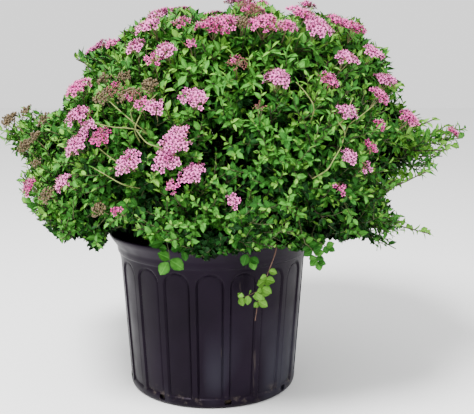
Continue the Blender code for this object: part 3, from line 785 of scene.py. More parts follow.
def strew_chips():
    rule = random.Random(SEED + 1)
    places = []
    while len(places) < CHIP_COUNT:
        radius = (wall_radius(MIX_TOP) - WALL - CHIP_RIM_GAP) * math.sqrt(rule.random())
        angle = rule.uniform(0, math.tau)
        if radius < CROWN_FLARE + CHIP_CLEARANCE:
            continue
        aim = on_axis(1, rule.uniform(0, math.tau), rule.uniform(-0.25, 0.25)).normalized()
        place = on_axis(radius, angle, mix_height(radius, angle) + 0.0004)
        places.append((place, facing_turn(aim, UP), CHIP_LENGTH * rule.uniform(0.5, 1.3)))
    shape = chip_shape()
    ride_along(copies("bark_chips", shape, wood["bark chip"], places))
    discard(shape)


strew_chips()

# %% [markdown]
# ## How the crown grows
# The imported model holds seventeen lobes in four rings, each with the bough that carries it. The same
# rule is written again here: the rings, the lobes that lean out of their ring, and the power planes
# that part one lobe from the next. All lobes together give one measure, the crown's level, which is 0
# deep inside and 1 on the crown's surface, and a twig or leaf is kept where the level allows it.

# %% Rings and boughs
# Each ring: its lobes, first azimuth, centre in x, radius, height, and a lobe's half sizes
RINGS = {
    "skirt": (6, -90, 0.000, 0.164, 0.262, (0.096, 0.108, 0.068)),
    "side": (6, -60, 0.010, 0.158, 0.345, (0.104, 0.114, 0.086)),
    "shoulder": (4, -90, 0.032, 0.108, 0.420, (0.108, 0.130, 0.086)),
    "top": (1, 0, 0.050, 0.000, 0.446, (0.116, 0.108, 0.072)),
}
# Lobes that the photograph shows to reach further out or up: their stretch and their rise
LEAN = {
    ("side", 1): (1.54, -0.010),
    ("side", 4): (1.36, -0.012),
    ("skirt", 1): (1.10, 0.0),
    ("skirt", 2): (1.10, 0.0),
    ("skirt", 4): (1.18, 0.0),
    ("skirt", 5): (1.12, 0.0),
    ("shoulder", 1): (1.00, 0.008),
    ("shoulder", 3): (1.00, -0.005),
}
SEAT_GAP = 0.0003
CROWN_HEART = Vector((0.020, 0.0, 0.270))
KNOB_RADIUS = 0.026
HUB = Vector((0, 0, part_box("root_crown")[1].z - KNOB_RADIUS))
BOUGH_FOOT_RADIUS = 0.0042
BOUGH_TIP_RADIUS = 0.0026
BOUGH_POINTS = 4
BOUGH_LIFT = 0.16
BOUGH_BEND_PLACE = 0.45
BOUGH_SHARE = 0.42
LOBE_SQUARENESS = 2.5
GOLDEN_ANGLE = math.radians(137.508)


def bent(start, middle, end, steps):
    """Points on a curve that leaves the start towards the middle and ends at the end."""
    return [(1 - t) ** 2 * start + 2 * t * (1 - t) * middle + t * t * end
            for t in [step / (steps - 1) for step in range(steps)]]


def bough_route(end, lift):
    """Points of a limb that leaves the woody knob a little steeply and then leans to its mass."""
    start_aim = ((end - HUB).normalized() + UP * lift).normalized()
    start = HUB + start_aim * KNOB_RADIUS
    bend = start + start_aim * (end - start).length * BOUGH_BEND_PLACE
    route = bent(start, bend, end, BOUGH_POINTS)
    route[0] = HUB + (route[1] - HUB).normalized() * (KNOB_RADIUS + SEAT_GAP)
    return route


print("hub of the boughs at", round(HUB.z, 4))

# %% Lobes


class Lobe:
    """One rounded part of the crown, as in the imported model."""

    def __init__(self, ring, index):
        count, first, centre_x, radius, height, half_sizes = RINGS[ring]
        azimuth = math.radians(first + 360 * index / count)
        stretch, rise = LEAN.get((ring, index), (1.0, 0.0))
        self.ring = ring
        self.label = ring + "_%s" + ("" if count == 1 else "_%d" % (index + 1))
        self.centre = Vector((centre_x, 0, rise)) + on_axis(radius, azimuth, height)
        self.turn = Matrix.Rotation(azimuth, 3, "Z")
        self.half_sizes = Vector((half_sizes[0] * stretch, half_sizes[1], half_sizes[2]))
        self.mean_radius = sum(half_sizes) / 3
        self.outwards = (self.centre - CROWN_HEART).normalized()
        towards = self.centre - HUB
        inner_reach = self.reach(-towards.normalized())
        self.bough_end = HUB + towards * (1 - BOUGH_SHARE * inner_reach / towards.length)
        self.bough_route = bough_route(self.bough_end, BOUGH_LIFT)
        self.bough_aim = (self.bough_route[-1] - self.bough_route[-2]).normalized()

    def reach(self, direction):
        local = self.turn.transposed() @ direction
        shares = [abs(part) / half for part, half in zip(local, self.half_sizes)]
        return sum(share ** LOBE_SQUARENESS for share in shares) ** (-1 / LOBE_SQUARENESS)


lobes = [Lobe(ring, index) for ring in RINGS for index in range(RINGS[ring][0])]
MASSES = [lobe.label % "foliage" for lobe in lobes]
print(len(lobes), "lobes:", ", ".join(MASSES))

# %% The crown's level
LEVEL_BLEND = 7.0
CENTRES = np.array([lobe.centre for lobe in lobes])
TURNS = np.array([lobe.turn for lobe in lobes])
HALVES = np.array([lobe.half_sizes for lobe in lobes])
RADII = np.array([lobe.mean_radius for lobe in lobes])


def crown_level(points):
    """One value for each point: below 1 inside the crown. Valleys between lobes are partly filled."""
    offsets = np.asarray(points)[:, None, :] - CENTRES
    local = np.einsum("nlk,lkj->nlj", offsets, TURNS)
    levels = ((np.abs(local) / HALVES) ** LOBE_SQUARENESS).sum(-1) ** (1 / LOBE_SQUARENESS)
    return ((levels + 1e-6) ** -LEVEL_BLEND).sum(-1) ** (-1 / LEVEL_BLEND)


def level_at(place):
    return crown_level([place])[0]


def owner(place):
    """The index of the lobe whose space a place is in."""
    offsets = np.array([place])[:, None, :] - CENTRES
    return int(((offsets ** 2).sum(-1) - RADII ** 2).argmin(1)[0])


def outside_pot(points, clearance):
    """True where a point is above the lip or outside the wall."""
    points = np.asarray(points)
    widest = np.where(points[:, 2] > LIP_FOOT, LIP_RADIUS, BAND_RADIUS)
    across = np.hypot(points[:, 0], points[:, 1])
    return (points[:, 2] > POT_HEIGHT + clearance) | (across > widest + clearance)


BOX_SPARE = 0.008
BOX_LOW = np.array(cad_low) - BOX_SPARE
BOX_HIGH = np.array(cad_high) + BOX_SPARE


def inside_box(points):
    points = np.asarray(points)
    return ((points > BOX_LOW) & (points < BOX_HIGH)).all(1)


print("level at the crown's heart", round(float(level_at(CROWN_HEART)), 3))


# %% [markdown]
# A shrub that has grown beside others, or been handled, is never quite round. The photograph shows
# this one's outline, so the outline's corners are noted here by pixel. Shoots that would grow past it,
# as the camera sees them, are pruned back, and from every other side the crown keeps its own shape.

# %% The crown's outline in the photograph
OUTLINE = [
    (2, 124), (12, 115), (24, 109), (36, 111), (44, 119), (56, 115), (68, 117), (66, 98), (72, 86),
    (87, 77), (90, 66), (76, 56), (81, 52), (92, 57), (104, 49), (123, 42), (124, 33), (140, 25), (152, 16),
    (167, 18), (173, 8), (184, 12), (190, 10), (200, 17), (225, 17), (236, 9), (246, 3), (254, 3), (264, 8),
    (278, 15), (290, 17), (304, 10), (318, 16), (338, 19), (357, 21), (362, 27), (359, 42), (372, 46),
    (384, 51), (384, 60), (390, 67), (383, 76), (400, 84), (399, 98), (412, 113), (421, 122), (434, 117),
    (452, 122), (464, 121), (472, 130), (464, 142), (446, 148), (438, 158), (430, 178), (414, 171),
    (402, 182), (388, 187), (382, 196), (391, 208), (404, 222), (420, 227), (432, 235), (428, 239),
    (404, 232), (394, 232), (392, 247), (385, 253), (376, 244), (360, 234), (341, 239), (334, 234),
    (318, 236), (322, 243), (312, 247), (298, 248), (287, 246), (276, 245), (262, 246), (252, 250),
    (240, 250), (226, 251), (212, 250), (206, 257), (196, 252), (187, 252), (176, 244), (164, 238),
    (150, 238), (140, 234), (134, 229), (118, 227), (106, 229), (100, 248), (93, 248), (87, 238), (76, 231),
    (64, 240), (50, 228), (38, 216), (28, 204), (19, 197), (22, 178), (29, 160), (14, 148), (3, 140),
]
OUTLINE_EDGE = 2.5
HIDDEN_BY_POT = (0.02, POT_HEIGHT + 0.03)
CORNERS = np.array(OUTLINE, float)
EDGES = np.roll(CORNERS, -1, 0) - CORNERS
EDGE_RISES = np.where(EDGES[:, 1] == 0, 1e-9, EDGES[:, 1])


def pixels_of(points):
    """Where points of the plant land in the photograph."""
    offsets = np.asarray(points) - np.array(CAMERA_PLACE)
    depth = offsets[:, 1] * PITCH_COSINE - offsets[:, 2] * PITCH_SINE
    rise = offsets[:, 2] * PITCH_COSINE + offsets[:, 1] * PITCH_SINE
    return np.stack([PHOTO_CENTRE[0] + FOCAL_PIXELS * offsets[:, 0] / depth,
                     PHOTO_CENTRE[1] - FOCAL_PIXELS * rise / depth], 1)


def inside_outline(points):
    """True where a point lands inside the outline or close to it, or is hidden behind the pot."""
    points = np.asarray(points)
    spots = pixels_of(points)[:, None, :]
    above = CORNERS[:, 1] > spots[:, :, 1]
    spans = above != np.roll(above, -1, 1)
    where = CORNERS[:, 0] + (spots[:, :, 1] - CORNERS[:, 1]) * EDGES[:, 0] / EDGE_RISES
    crossings = (spans & (spots[:, :, 0] < where)).sum(1)
    share = np.clip(((spots - CORNERS) * EDGES).sum(2) / (EDGES ** 2).sum(1), 0, 1)
    nearest = np.linalg.norm(spots - CORNERS - share[:, :, None] * EDGES, axis=2).min(1)
    behind, below = HIDDEN_BY_POT
    hidden = (points[:, 1] > behind) & (abs(points[:, 0]) < BAND_RADIUS) & (points[:, 2] < below)
    return (crossings % 2 == 1) | (nearest < OUTLINE_EDGE) | hidden


print("outline:", len(OUTLINE), "corners")


# %% [markdown]
# ## Woody crown and boughs
# The short stem and its boughs are the plant's old wood. Each becomes a tube with far more sides than
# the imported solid, and noise that is stretched along the limb pushes its skin in and out, which gives
# the long furrows of real bark in the mesh itself.

# %% Tubes with bark relief
BOUGH_SIDES = 12
BOUGH_RINGS = 44
BARK_RELIEF = 0.00045
BARK_SEED_STEP = 3.7


def smooth_route(route, count):
    """The route again, with more points, on a curve through the old ones."""
    padded = [route[0] * 2 - route[1]] + list(route) + [route[-1] * 2 - route[-2]]
    places = []
    for step in range(count):
        where = step / (count - 1) * (len(route) - 1)
        first = min(int(where), len(route) - 2)
        share = where - first
        a, b, c, d = padded[first:first + 4]
        places.append(0.5 * ((2 * b) + (c - a) * share + (2 * a - 5 * b + 4 * c - d) * share ** 2
                             + (3 * b - a - 3 * c + d) * share ** 3))
    return places


def finish_bark(node, points, rows, columns):
    """Closed rings of points become the bark piece that stands for a node, with a cap at each end."""
    caps = [tuple(range(columns))[::-1], tuple(range((rows - 1) * columns, rows * columns))]
    name = node + "_bark"
    piece = new_piece(name, mesh_from(name, points, ring_faces(rows, columns) + caps))
    piece.data.materials.append(wood["bark"])
    ride_along(piece, [node])


def make_bark_bough(node, route, seed):
    """A closed tube along a route, its skin pushed in and out by noise that runs along it."""
    route = smooth_route(route, BOUGH_RINGS)
    points = []
    side_axis = (route[1] - route[0]).orthogonal().normalized()
    for step, place in enumerate(route):
        ahead = (route[min(step + 1, len(route) - 1)] - route[max(step - 1, 0)]).normalized()
        side_axis = (side_axis - ahead * side_axis.dot(ahead)).normalized()
        other_axis = ahead.cross(side_axis)
        radius = BOUGH_FOOT_RADIUS + (BOUGH_TIP_RADIUS - BOUGH_FOOT_RADIUS) * step / (BOUGH_RINGS - 1)
        for angle in ring_angles(BOUGH_SIDES):
            ridge = noise.noise(Vector((3 * math.cos(angle), 3 * math.sin(angle), step * 0.16 + seed)))
            knot = noise.noise(Vector((0.5 * math.cos(angle), seed, step * 0.35)))
            skin = radius + BARK_RELIEF * (ridge + 0.6 * knot) - BARK_RELIEF * 0.7
            points.append(place + skin * (math.cos(angle) * side_axis + math.sin(angle) * other_axis))
    finish_bark(node, points, BOUGH_RINGS, BOUGH_SIDES)


for number, lobe in enumerate(lobes):
    make_bark_bough(lobe.label % "bough", lobe.bough_route, number * BARK_SEED_STEP)

# %% [markdown]
# The woody crown is where all stems leave the ground: a short stump with a flare at its foot and a round
# knob. It is a turned form, so rings of points make it, and the same kind of noise gives it bark.

# %% Root crown
KNOB_NECK_RADIUS = 0.0255
CROWN_ROWS = 48
CROWN_COLUMNS = 72
CROWN_RELIEF = 0.0011
CROWN_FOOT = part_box("root_crown")[0].z
FLARE_HEIGHT = 0.009
FLARE_SHARE = 0.2
NECK_TURN = 0.35
CAP_SHARE = 0.995


def crown_profile(share):
    """(radius, height) of the woody crown from its flat cut, up the flare and over the knob."""
    if share < FLARE_SHARE:
        rise = share / FLARE_SHARE
        flare = CROWN_FLARE + (KNOB_NECK_RADIUS - CROWN_FLARE) * smooth_step(rise ** 0.7)
        return flare, CROWN_FOOT + FLARE_HEIGHT * rise
    turn = math.pi / 2 * (share - FLARE_SHARE) / (1 - FLARE_SHARE)
    neck = CROWN_FOOT + FLARE_HEIGHT
    if turn < NECK_TURN:
        return KNOB_NECK_RADIUS, neck + (HUB.z - neck) * turn / NECK_TURN
    turn = (turn - NECK_TURN) / (math.pi / 2 - NECK_TURN) * math.pi / 2
    return KNOB_RADIUS * math.cos(turn), HUB.z + KNOB_RADIUS * math.sin(turn)


def make_root_crown():
    points = []
    for row in range(CROWN_ROWS):
        radius, height = crown_profile(row / (CROWN_ROWS - 1) * CAP_SHARE)
        for angle in ring_angles(CROWN_COLUMNS):
            ridge = noise.noise(Vector((4 * math.cos(angle), 4 * math.sin(angle), height * 60)))
            depth = CROWN_RELIEF * (ridge - 0.6) * min(1.0, radius / 0.008) if row else 0.0
            points.append(on_axis(radius + depth, angle, height))
    finish_bark("root_crown", points, CROWN_ROWS, CROWN_COLUMNS)


make_root_crown()

# %% [markdown]
# ## Shoots
# In each lobe a stem runs on from the bough's tip to the lobe's heart. Shoots leave that stem towards
# aims spread evenly over the lobe's outer side, curve upwards as they go, and carry side twigs at the
# golden angle. Every twig is a short line of points with a radius at each end, until all of them
# become tubes at once. Real shoots of this plant are upright, so the crown's top is spiky and its foot
# hangs a little.

# %% Growth values
SHOOTS_PER_LOBE = 40
SURFACE_SHOOTS = 700
SURFACE_DISTANCES = np.linspace(0.04, 0.40, 150)
SURFACE_LEVELS = (0.90, 1.0)
INNER_SHOOTS_PER_LOBE = 34
SHOOT_SPREAD = 1.45
SHOOT_REACH = (0.86, 1.0)
INNER_REACH = (0.35, 0.80)
SHOOT_LIMIT = 1.02
SHOOT_MINIMUM = 0.02
PRUNE_STEP = 0.07
PRUNE_TRIES = 8
SHOOT_RADII = (0.0015, 0.0007)
SHOOT_CLEARANCE = 0.008
SHOOT_SWAY = 0.08
SIDE_TWIGS = 6
SIDE_TWIG_RADII = (0.0009, 0.0005)
SIDE_TWIG_LENGTHS = (0.024, 0.046)
SIDE_TWIG_ANGLE = math.radians(38)
SIDE_TWIG_SPAN = (0.36, 0.94)
SIDE_TWIG_LIMIT = SHOOT_LIMIT + 0.03
SIDE_TWIG_CLEARANCE = 0.006
STEM_RADII = (0.0025, 0.0019)
STEM_STRAIGHT = 0.0105
LEAFY_FROM = 0.38

# The two wings and the hanging foot are open: many shoots are shortened there
OPENNESS = 0.80
SHORT_SHARE = 0.60
SHORT_GAIN_BEHIND = 0.26
WING_START = 0.165
WING_DEPTH = 0.080
WING_LEAF_GROWTH = 0.22
BEHIND_START, BEHIND_DEPTH = -0.015, 0.05
HANGING_START, HANGING_DEPTH = 0.17, 0.06
HANGING_BELOW, HANGING_FADE = 0.285, 0.05

# Leaf length, and the share of leaves that are broad, from the crown's foot to its top
LEAF_SHAPES = {"skirt": (0.0100, 0.90), "side": (0.0114, 0.72),
               "shoulder": (0.0144, 0.28), "top": (0.0160, 0.12)}
LEAF_KINDS = ("lance", "oval", "round")
LEAF_PITCH = 0.0036
LEAF_SPLAY = math.radians(52)
LEAF_TURN = 0.36
SHADED_GROWTH = 1.35
SHADED_LEVEL = 0.62
SHADED_LEVEL_DROP = 0.25
TINT_LIMITS = {"deep": 0.06, "mid": 0.42, "bright": 0.82}
LIGHT_CHANCE = (-0.30, 0.50)
FIRST_LEAF_SPLAY = 0.45
SPLAY_RANGE = (0.8, 1.25)
LEAF_SIZE_RANGE = (0.75, 1.2)
YOUNG_LEAF_SIZE = 0.7
YOUNG_LEAF_SHARE = 0.6

old_lines, young_lines, pale_lines, stalk_lines = [], [], [], []
leaf_places = {(tint, kind): [] for tint in LEAF_TINTS for kind in LEAF_KINDS}
gathered = []
print("growth:", SHOOTS_PER_LOBE + INNER_SHOOTS_PER_LOBE, "shoots a lobe,", SURFACE_SHOOTS, "on the surface")

# %% Routes


def arched(start, end, sag, steps, sway=Vector((0, 0, 0))):
    """A line that leaves level and turns upwards towards its end."""
    length = (end - start).length
    return bent(start, start.lerp(end, 0.55) - UP * length * sag + sway * length, end, steps)


def along_route(route, share):
    """The point at a share of the route, and the route's direction there."""
    where = min(share, 0.9999) * (len(route) - 1)
    first = int(where)
    step = route[first + 1] - route[first]
    return route[first] + step * (where - first), step.normalized()


def beside(ahead, turn):
    """A direction square to the one ahead, turned round it."""
    return Quaternion(ahead, turn) @ ahead.orthogonal().normalized()


def splayed(ahead, side, angle):
    return ahead * math.cos(angle) + side * math.sin(angle)


def wing_share(place):
    """0 in the body of the crown, 1 at the tips of its two wings."""
    return smooth_step((abs(place.x - CROWN_HEART.x) - WING_START) / WING_DEPTH)


def behind_share(place):
    """0 in the half of the crown that the photograph shows, 1 in its back half."""
    return smooth_step((place.y - BEHIND_START) / BEHIND_DEPTH)


# %% Leaves along a twig


def pick_tint(rule, place, level):
    """A spray's tint, as painted light and shade: deeper inside the crown, and brighter where the shoots
    reach the light.
    """
    if level < SHADED_LEVEL - SHADED_LEVEL_DROP * behind_share(place) * wing_share(place):
        return "shaded"
    light = 0.26 * smooth_step((place.z - 0.22) / 0.28) + 1.3 * (level - 0.80) + rule.uniform(*LIGHT_CHANCE)
    light += 0.30 * wing_share(place)
    return next((tint for tint, limit in TINT_LIMITS.items() if light < limit), "young")


def add_leaves(route, tint, rule, leafy_from, length, broad, pitch=LEAF_PITCH, stop=1.0):
    """Leaves at the golden angle from the twig's tip back to where its leafy part starts."""
    if tint == "shaded":
        length, pitch = length * SHADED_GROWTH, pitch * SHADED_GROWTH
    total = sum((b - a).length for a, b in zip(route, route[1:]))
    count = max(1, int(total * (stop - leafy_from) / pitch))
    turn = rule.uniform(0, math.tau)
    for number in range(count):
        place, ahead = along_route(route, stop - (stop - leafy_from) * number / count)
        turn += GOLDEN_ANGLE
        side = beside(ahead, turn)
        splay = LEAF_SPLAY * (FIRST_LEAF_SPLAY if number == 0 else rule.uniform(*SPLAY_RANGE))
        aim = (splayed(ahead, side, splay) + UP * rule.uniform(-0.05, 0.3)).normalized()
        outwards = (place - CROWN_HEART).normalized()
        turned = bell_jitter(rule, LEAF_TURN)
        face = (ahead * 0.5 + UP * 0.7 + outwards * 0.6 - side * 0.3 + turned).normalized()
        young = number < 2 and stop == 1.0
        size = length * rule.uniform(*LEAF_SIZE_RANGE) * (YOUNG_LEAF_SIZE if young else 1.0)
        if young and tint in ("mid", "bright", "young") and rule.random() < YOUNG_LEAF_SHARE:
            shade = "young"
        else:
            shade = tint
        kind = "oval" if rule.random() < broad else "lance"
        gathered.append((place, aim, face, size, shade, kind))


# %% Side twigs and shoots


def add_side_twigs(route, rule, count, leaf_length, broad):
    """Short leafy twigs round a shoot, longest at its foot."""
    turn = rule.uniform(0, math.tau)
    first, last = SIDE_TWIG_SPAN
    for number in range(count):
        share = first + (last - first) * (number + rule.uniform(0.1, 0.9)) / count
        place, ahead = along_route(route, share)
        turn += GOLDEN_ANGLE
        aim = (splayed(ahead, beside(ahead, turn), SIDE_TWIG_ANGLE) + UP * 0.18).normalized()
        length = rule.uniform(*SIDE_TWIG_LENGTHS) * (1.15 - 0.45 * share)
        end = place + aim * length
        level = level_at(end)
        clear = outside_pot([end], SIDE_TWIG_CLEARANCE)[0] and inside_outline([end])[0]
        if level <= SIDE_TWIG_LIMIT and clear:
            twig = arched(place, end, 0.10, 3)
            young_lines.append((twig, *SIDE_TWIG_RADII))
            add_leaves(twig, pick_tint(rule, end, level), rule, 0.12, leaf_length, broad)


def add_shoot(index, end, rule, start=None, sag=0.16, stop=1.0, twigs=SIDE_TWIGS, leafy_from=LEAFY_FROM):
    """A shoot from the lobe's heart, or from a place on its stem, to its own place in the light."""
    lobe = lobes[index]
    leaf_length, broad = LEAF_SHAPES[lobe.ring]
    leaf_length *= 1 + WING_LEAF_GROWTH * wing_share(end)
    broad *= 1 - 0.5 * wing_share(end)
    route = arched(lobe.centre if start is None else start, end, sag, 6, jitter(rule, SHOOT_SWAY))
    (old_lines if rule.random() < 0.6 else young_lines).append((route, *SHOOT_RADII))
    tint = pick_tint(rule, end, level_at(end))
    add_leaves(route, tint, rule, leafy_from, leaf_length, broad, stop=stop)
    add_side_twigs(route, rule, twigs, leaf_length, broad)


def spiral_aims(count, spread, offset=0.0):
    """Directions spread evenly from straight up to as far down as the spread says, with their heights."""
    for step in range(count):
        height = 1 - spread * (step + 0.5) / count
        around = math.sqrt(max(0.0, 1 - height * height))
        yield height, on_axis(around, GOLDEN_ANGLE * step + offset, height)


# %% [markdown]
# ## Flower heads
# A flower head of this shrub is a flat-topped cluster of small five-petalled flowers, in smaller
# clusters on a few stalks. The heads that the photograph shows are placed by its pixels: a ray from
# the camera through the head's middle meets the crown's surface at one point, and a shoot grows there.
# On the sides that the photograph doesn't show, heads follow the source's rule and end some shoots.

# %% Heads in the photograph
# Pixel of the middle, width in pixels, and stage of flowering
PHOTO_HEADS = [
    (153, 27, 29, "pale"), (182, 25, 15, "deep"), (212, 28, 30, "deep"), (228, 26, 24, "rose"),
    (250, 14, 28, "bud"), (247, 8, 18, "bud"), (264, 27, 34, "rose"), (285, 30, 22, "rose"),
    (301, 18, 26, "rose"), (316, 30, 32, "pale"), (337, 26, 24, "rose"), (353, 31, 24, "deep"),
    (136, 50, 20, "pale"), (113, 48, 15, "rose"), (167, 54, 22, "pale"), (155, 64, 16, "rose"),
    (190, 45, 10, "rose"), (242, 27, 18, "spent"), (134, 97, 14, "bud"), (117, 92, 16, "bud"),
    (237, 64, 18, "bud"), (277, 82, 28, "pale"), (194, 100, 28, "pale"), (259, 107, 10, "bud"),
    (155, 111, 19, "pale"), (141, 105, 13, "rose"), (151, 88, 19, "spent"), (105, 99, 17, "spent"),
    (128, 97, 19, "spent"), (124, 78, 13, "spent"), (104, 80, 12, "spent"), (178, 142, 32, "pale"),
    (168, 160, 30, "pale"), (194, 176, 26, "pale"), (173, 189, 13, "rose"), (130, 164, 27, "pale"),
    (233, 203, 13, "pale"), (79, 91, 26, "rose"), (79, 118, 24, "pale"), (89, 128, 15, "pale"),
    (78, 147, 26, "pale"), (101, 140, 22, "deep"), (31, 187, 18, "deep"), (65, 184, 16, "pale"),
    (49, 196, 15, "spent"), (38, 164, 9, "spent"), (13, 123, 19, "spent"), (29, 113, 11, "spent"),
    (36, 139, 14, "spent"), (26, 149, 16, "spent"), (46, 121, 12, "spent"), (100, 210, 14, "spent"),
    (118, 212, 9, "deep"), (344, 61, 23, "pale"), (328, 84, 20, "rose"), (371, 55, 20, "pale"),
    (385, 84, 26, "pale"), (377, 99, 24, "rose"), (408, 121, 24, "rose"), (346, 115, 20, "pale"),
    (379, 126, 10, "deep"), (452, 132, 12, "deep"), (370, 148, 14, "deep"), (348, 157, 15, "pale"),
    (364, 168, 12, "pale"), (339, 189, 11, "rose"),
]
RAY_DISTANCES = np.linspace(0.70, 1.45, 600)
SURFACE_LEVEL = 1.0


def pixel_ray(pixel):
    """The direction from the camera through a pixel of the photograph."""
    across = (pixel[0] - PHOTO_CENTRE[0]) / FOCAL_PIXELS
    up = (PHOTO_CENTRE[1] - pixel[1]) / FOCAL_PIXELS
    return Vector((across, PITCH_COSINE + up * PITCH_SINE, up * PITCH_COSINE - PITCH_SINE)).normalized()


def crown_point(pixel):
    """Where the ray through a pixel meets the crown, or else where it passes nearest to it."""
    points = np.array(CAMERA_PLACE) + RAY_DISTANCES[:, None] * np.array(pixel_ray(pixel))
    levels = crown_level(points)
    inside = np.nonzero(levels < SURFACE_LEVEL)[0]
    index = inside[0] if len(inside) else int(levels.argmin())
    return Vector(points[index]), float(RAY_DISTANCES[index]), float(levels[index])


print(len(PHOTO_HEADS), "heads placed by the photograph")

# %% [markdown]
# Each head is grown from its middle outwards. Small clusters sit on a low dome at the golden angle, and
# the florets of a cluster sit on a smaller dome. A floret is open, in bud or spent, by the head's stage.

# %% Florets, buds and spent florets in a head
HEAD_STALK = 0.016
STALK_RADII = (0.0007, 0.00045)
FLORET_STALK_RADII = (0.00035, 0.00028)
STALK_SINK = 0.0022
CLUSTER_RADIUS = 0.0085
HEAD_DOME, CLUSTER_DOME = 0.30, 0.38
CLUSTER_UNEVEN, FLORET_UNEVEN = 0.0022, 0.0008
FLORET_SIZE = 0.0066
FLORET_SPACING = 0.0053
HEART_LIFT = 0.0005
STAMEN_LIFT = 0.0004
# Beads of a bud or a spent floret: their number, spread and size
BUD_BEADS = (5, 0.0023, 0.0019)
SEED_BEADS = (7, 0.0026, 0.0028)
# Colour of the petals, and the share of florets that are open
STAGES = {
    "pale": ("pale", 0.90),
    "rose": ("rose", 0.85),
    "deep": ("deep", 0.75),
    "bud": ("deep", 0.12),
    "spent": (None, 0.0),
}

petal_places = {name: [] for name in petal_pink}
heart_places, stamen_places, bud_places, seed_places = [], [], [], []
head_zones = []


def tilted(normal, rule, amount):
    return (normal + bell_jitter(rule, amount)).normalized()


def add_beads(places, place, turn, rule, beads, low, high):
    count, spread, size = beads
    for _ in range(count):
        places.append((place + jitter(rule, spread), turn, size * rule.uniform(low, high)))


def add_floret(place, normal, stage, rule):
    petals, share = STAGES[stage]
    turn = facing_turn(tilted(normal.orthogonal().normalized(), rule, 0.9), normal)
    if petals and rule.random() < share:
        size = FLORET_SIZE * rule.uniform(0.85, 1.12)
        petal_places[petals].append((place, turn, size))
        heart_places.append((place + normal * HEART_LIFT, turn, size))
        stamen_places.append((place + normal * STAMEN_LIFT, turn, size))
    elif stage == "spent":
        add_beads(seed_places, place, turn, rule, SEED_BEADS, 0.6, 1.2)
    else:
        add_beads(bud_places, place, turn, rule, BUD_BEADS, 0.7, 1.2)


# %% Clusters and heads


def add_cluster(heart, top, small, spin, stage, rule):
    """Florets on a small dome, each on a stalk from the dome's middle."""
    foot = heart - top * STALK_SINK
    side = top.orthogonal().normalized()
    other = top.cross(side)
    florets = max(4, round((small / FLORET_SPACING) ** 2 * 3.6))
    for floret in range(florets):
        reach = small * math.sqrt((floret + 0.4) / florets)
        spread = splayed(side, other, GOLDEN_ANGLE * floret + spin)
        dome = small * CLUSTER_DOME * (1 - (reach / small) ** 2)
        point = heart + spread * reach + top * (dome + rule.uniform(-FLORET_UNEVEN, FLORET_UNEVEN))
        aim = tilted((top + spread * 0.55 * reach / small).normalized(), rule, 0.16)
        stalk_lines.append(([foot, point - aim * HEART_LIFT], *FLORET_STALK_RADII))
        add_floret(point, aim, stage, rule)


def add_head(place, normal, radius, stage, rule):
    """A flat-topped cluster made of smaller ones. It returns the fork that the smaller ones' stalks leave."""
    side = normal.orthogonal().normalized()
    other = normal.cross(side)
    fork = place - normal * HEAD_STALK
    clusters = max(1, round((radius / CLUSTER_RADIUS) ** 2 * 0.9))
    small = radius / math.sqrt(clusters) * 1.05
    spin = rule.uniform(0, math.tau)
    for number in range(clusters):
        away = (radius - small * 0.75) * math.sqrt((number + 0.3) / clusters) if clusters > 1 else 0.0
        share = away / radius
        heart = place + splayed(side, other, spin + GOLDEN_ANGLE * number) * away
        dome = radius * HEAD_DOME * (1 - share * share)
        heart += normal * (dome + rule.uniform(-CLUSTER_UNEVEN, CLUSTER_UNEVEN))
        top = (normal + (heart - fork).normalized() * 0.6).normalized()
        stalk_lines.append((arched(fork, heart - top * STALK_SINK, 0.0, 3), *STALK_RADII))
        add_cluster(heart, top, small, spin, stage, rule)
    head_zones.append((place, normal, radius))
    return fork


print("stages of a head:", ", ".join(STAGES))

# %% [markdown]
# A few bare, pale stems show in front of the crown. Each is a list of pixels from its foot to its tip.
# The rays through them meet an uneven surface, so a straight line is fitted to their distances, and the
# stem stays smooth.

# %% Pale stems
PHOTO_STEMS = [
    [(161, 148), (147, 143), (137, 131), (133, 122), (131, 110), (141, 101)],
    [(135, 128), (147, 104), (157, 94)],
    [(133, 122), (119, 110), (109, 101)],
    [(134, 129), (112, 127), (95, 123)],
    [(122, 184), (106, 175), (90, 166)],
    [(116, 161), (106, 154), (99, 148)],
    [(327, 170), (334, 159), (341, 147), (345, 134), (350, 124), (362, 115), (374, 105)],
    [(345, 134), (337, 120)],
    [(314, 107), (305, 92), (296, 82)],
    [(345, 118), (349, 107), (353, 98)],
]
STEM_WIDTHS = (0.00080, 0.00050)
STEM_LEAF = 0.011
STEM_LEAF_PITCH = 0.013
STEM_BACK = 0.010
STEM_INWARDS = 0.022


def pixel_route(pixels):
    found = [crown_point(pixel)[1] for pixel in pixels]
    steps = np.arange(len(pixels))
    distances = np.polyval(np.polyfit(steps, found, 1), steps)
    return [CAMERA_PLACE + pixel_ray(pixel) * float(distance) for pixel, distance in zip(pixels, distances)]


def grow_photo_stems(rule):
    for pixels in PHOTO_STEMS:
        route = pixel_route(pixels)
        inwards = (CROWN_HEART - route[0]).normalized()
        foot = route[0] + (route[0] - route[1]).normalized() * STEM_BACK + inwards * STEM_INWARDS
        line = smooth_route([foot] + route, 4 * len(route))
        pale_lines.append((line, *STEM_WIDTHS))
        old_lines.append(([lobes[owner(route[0])].centre, foot], STEM_WIDTHS[0], STEM_WIDTHS[0]))
        # Their leaves take the bright tint: painted light on stems that stand in front of the crown
        add_leaves(line, "bright", rule, 0.3, STEM_LEAF, 0.1, pitch=STEM_LEAF_PITCH, stop=0.9)


print(len(PHOTO_STEMS), "pale stems")

# %% [markdown]
# Over the pot's lip hang a few sprigs whose round leaves are large enough to be told apart. Each leaf
# runs from the pixel of its foot to the pixel of its tip, on a plane a little in front of the pot.

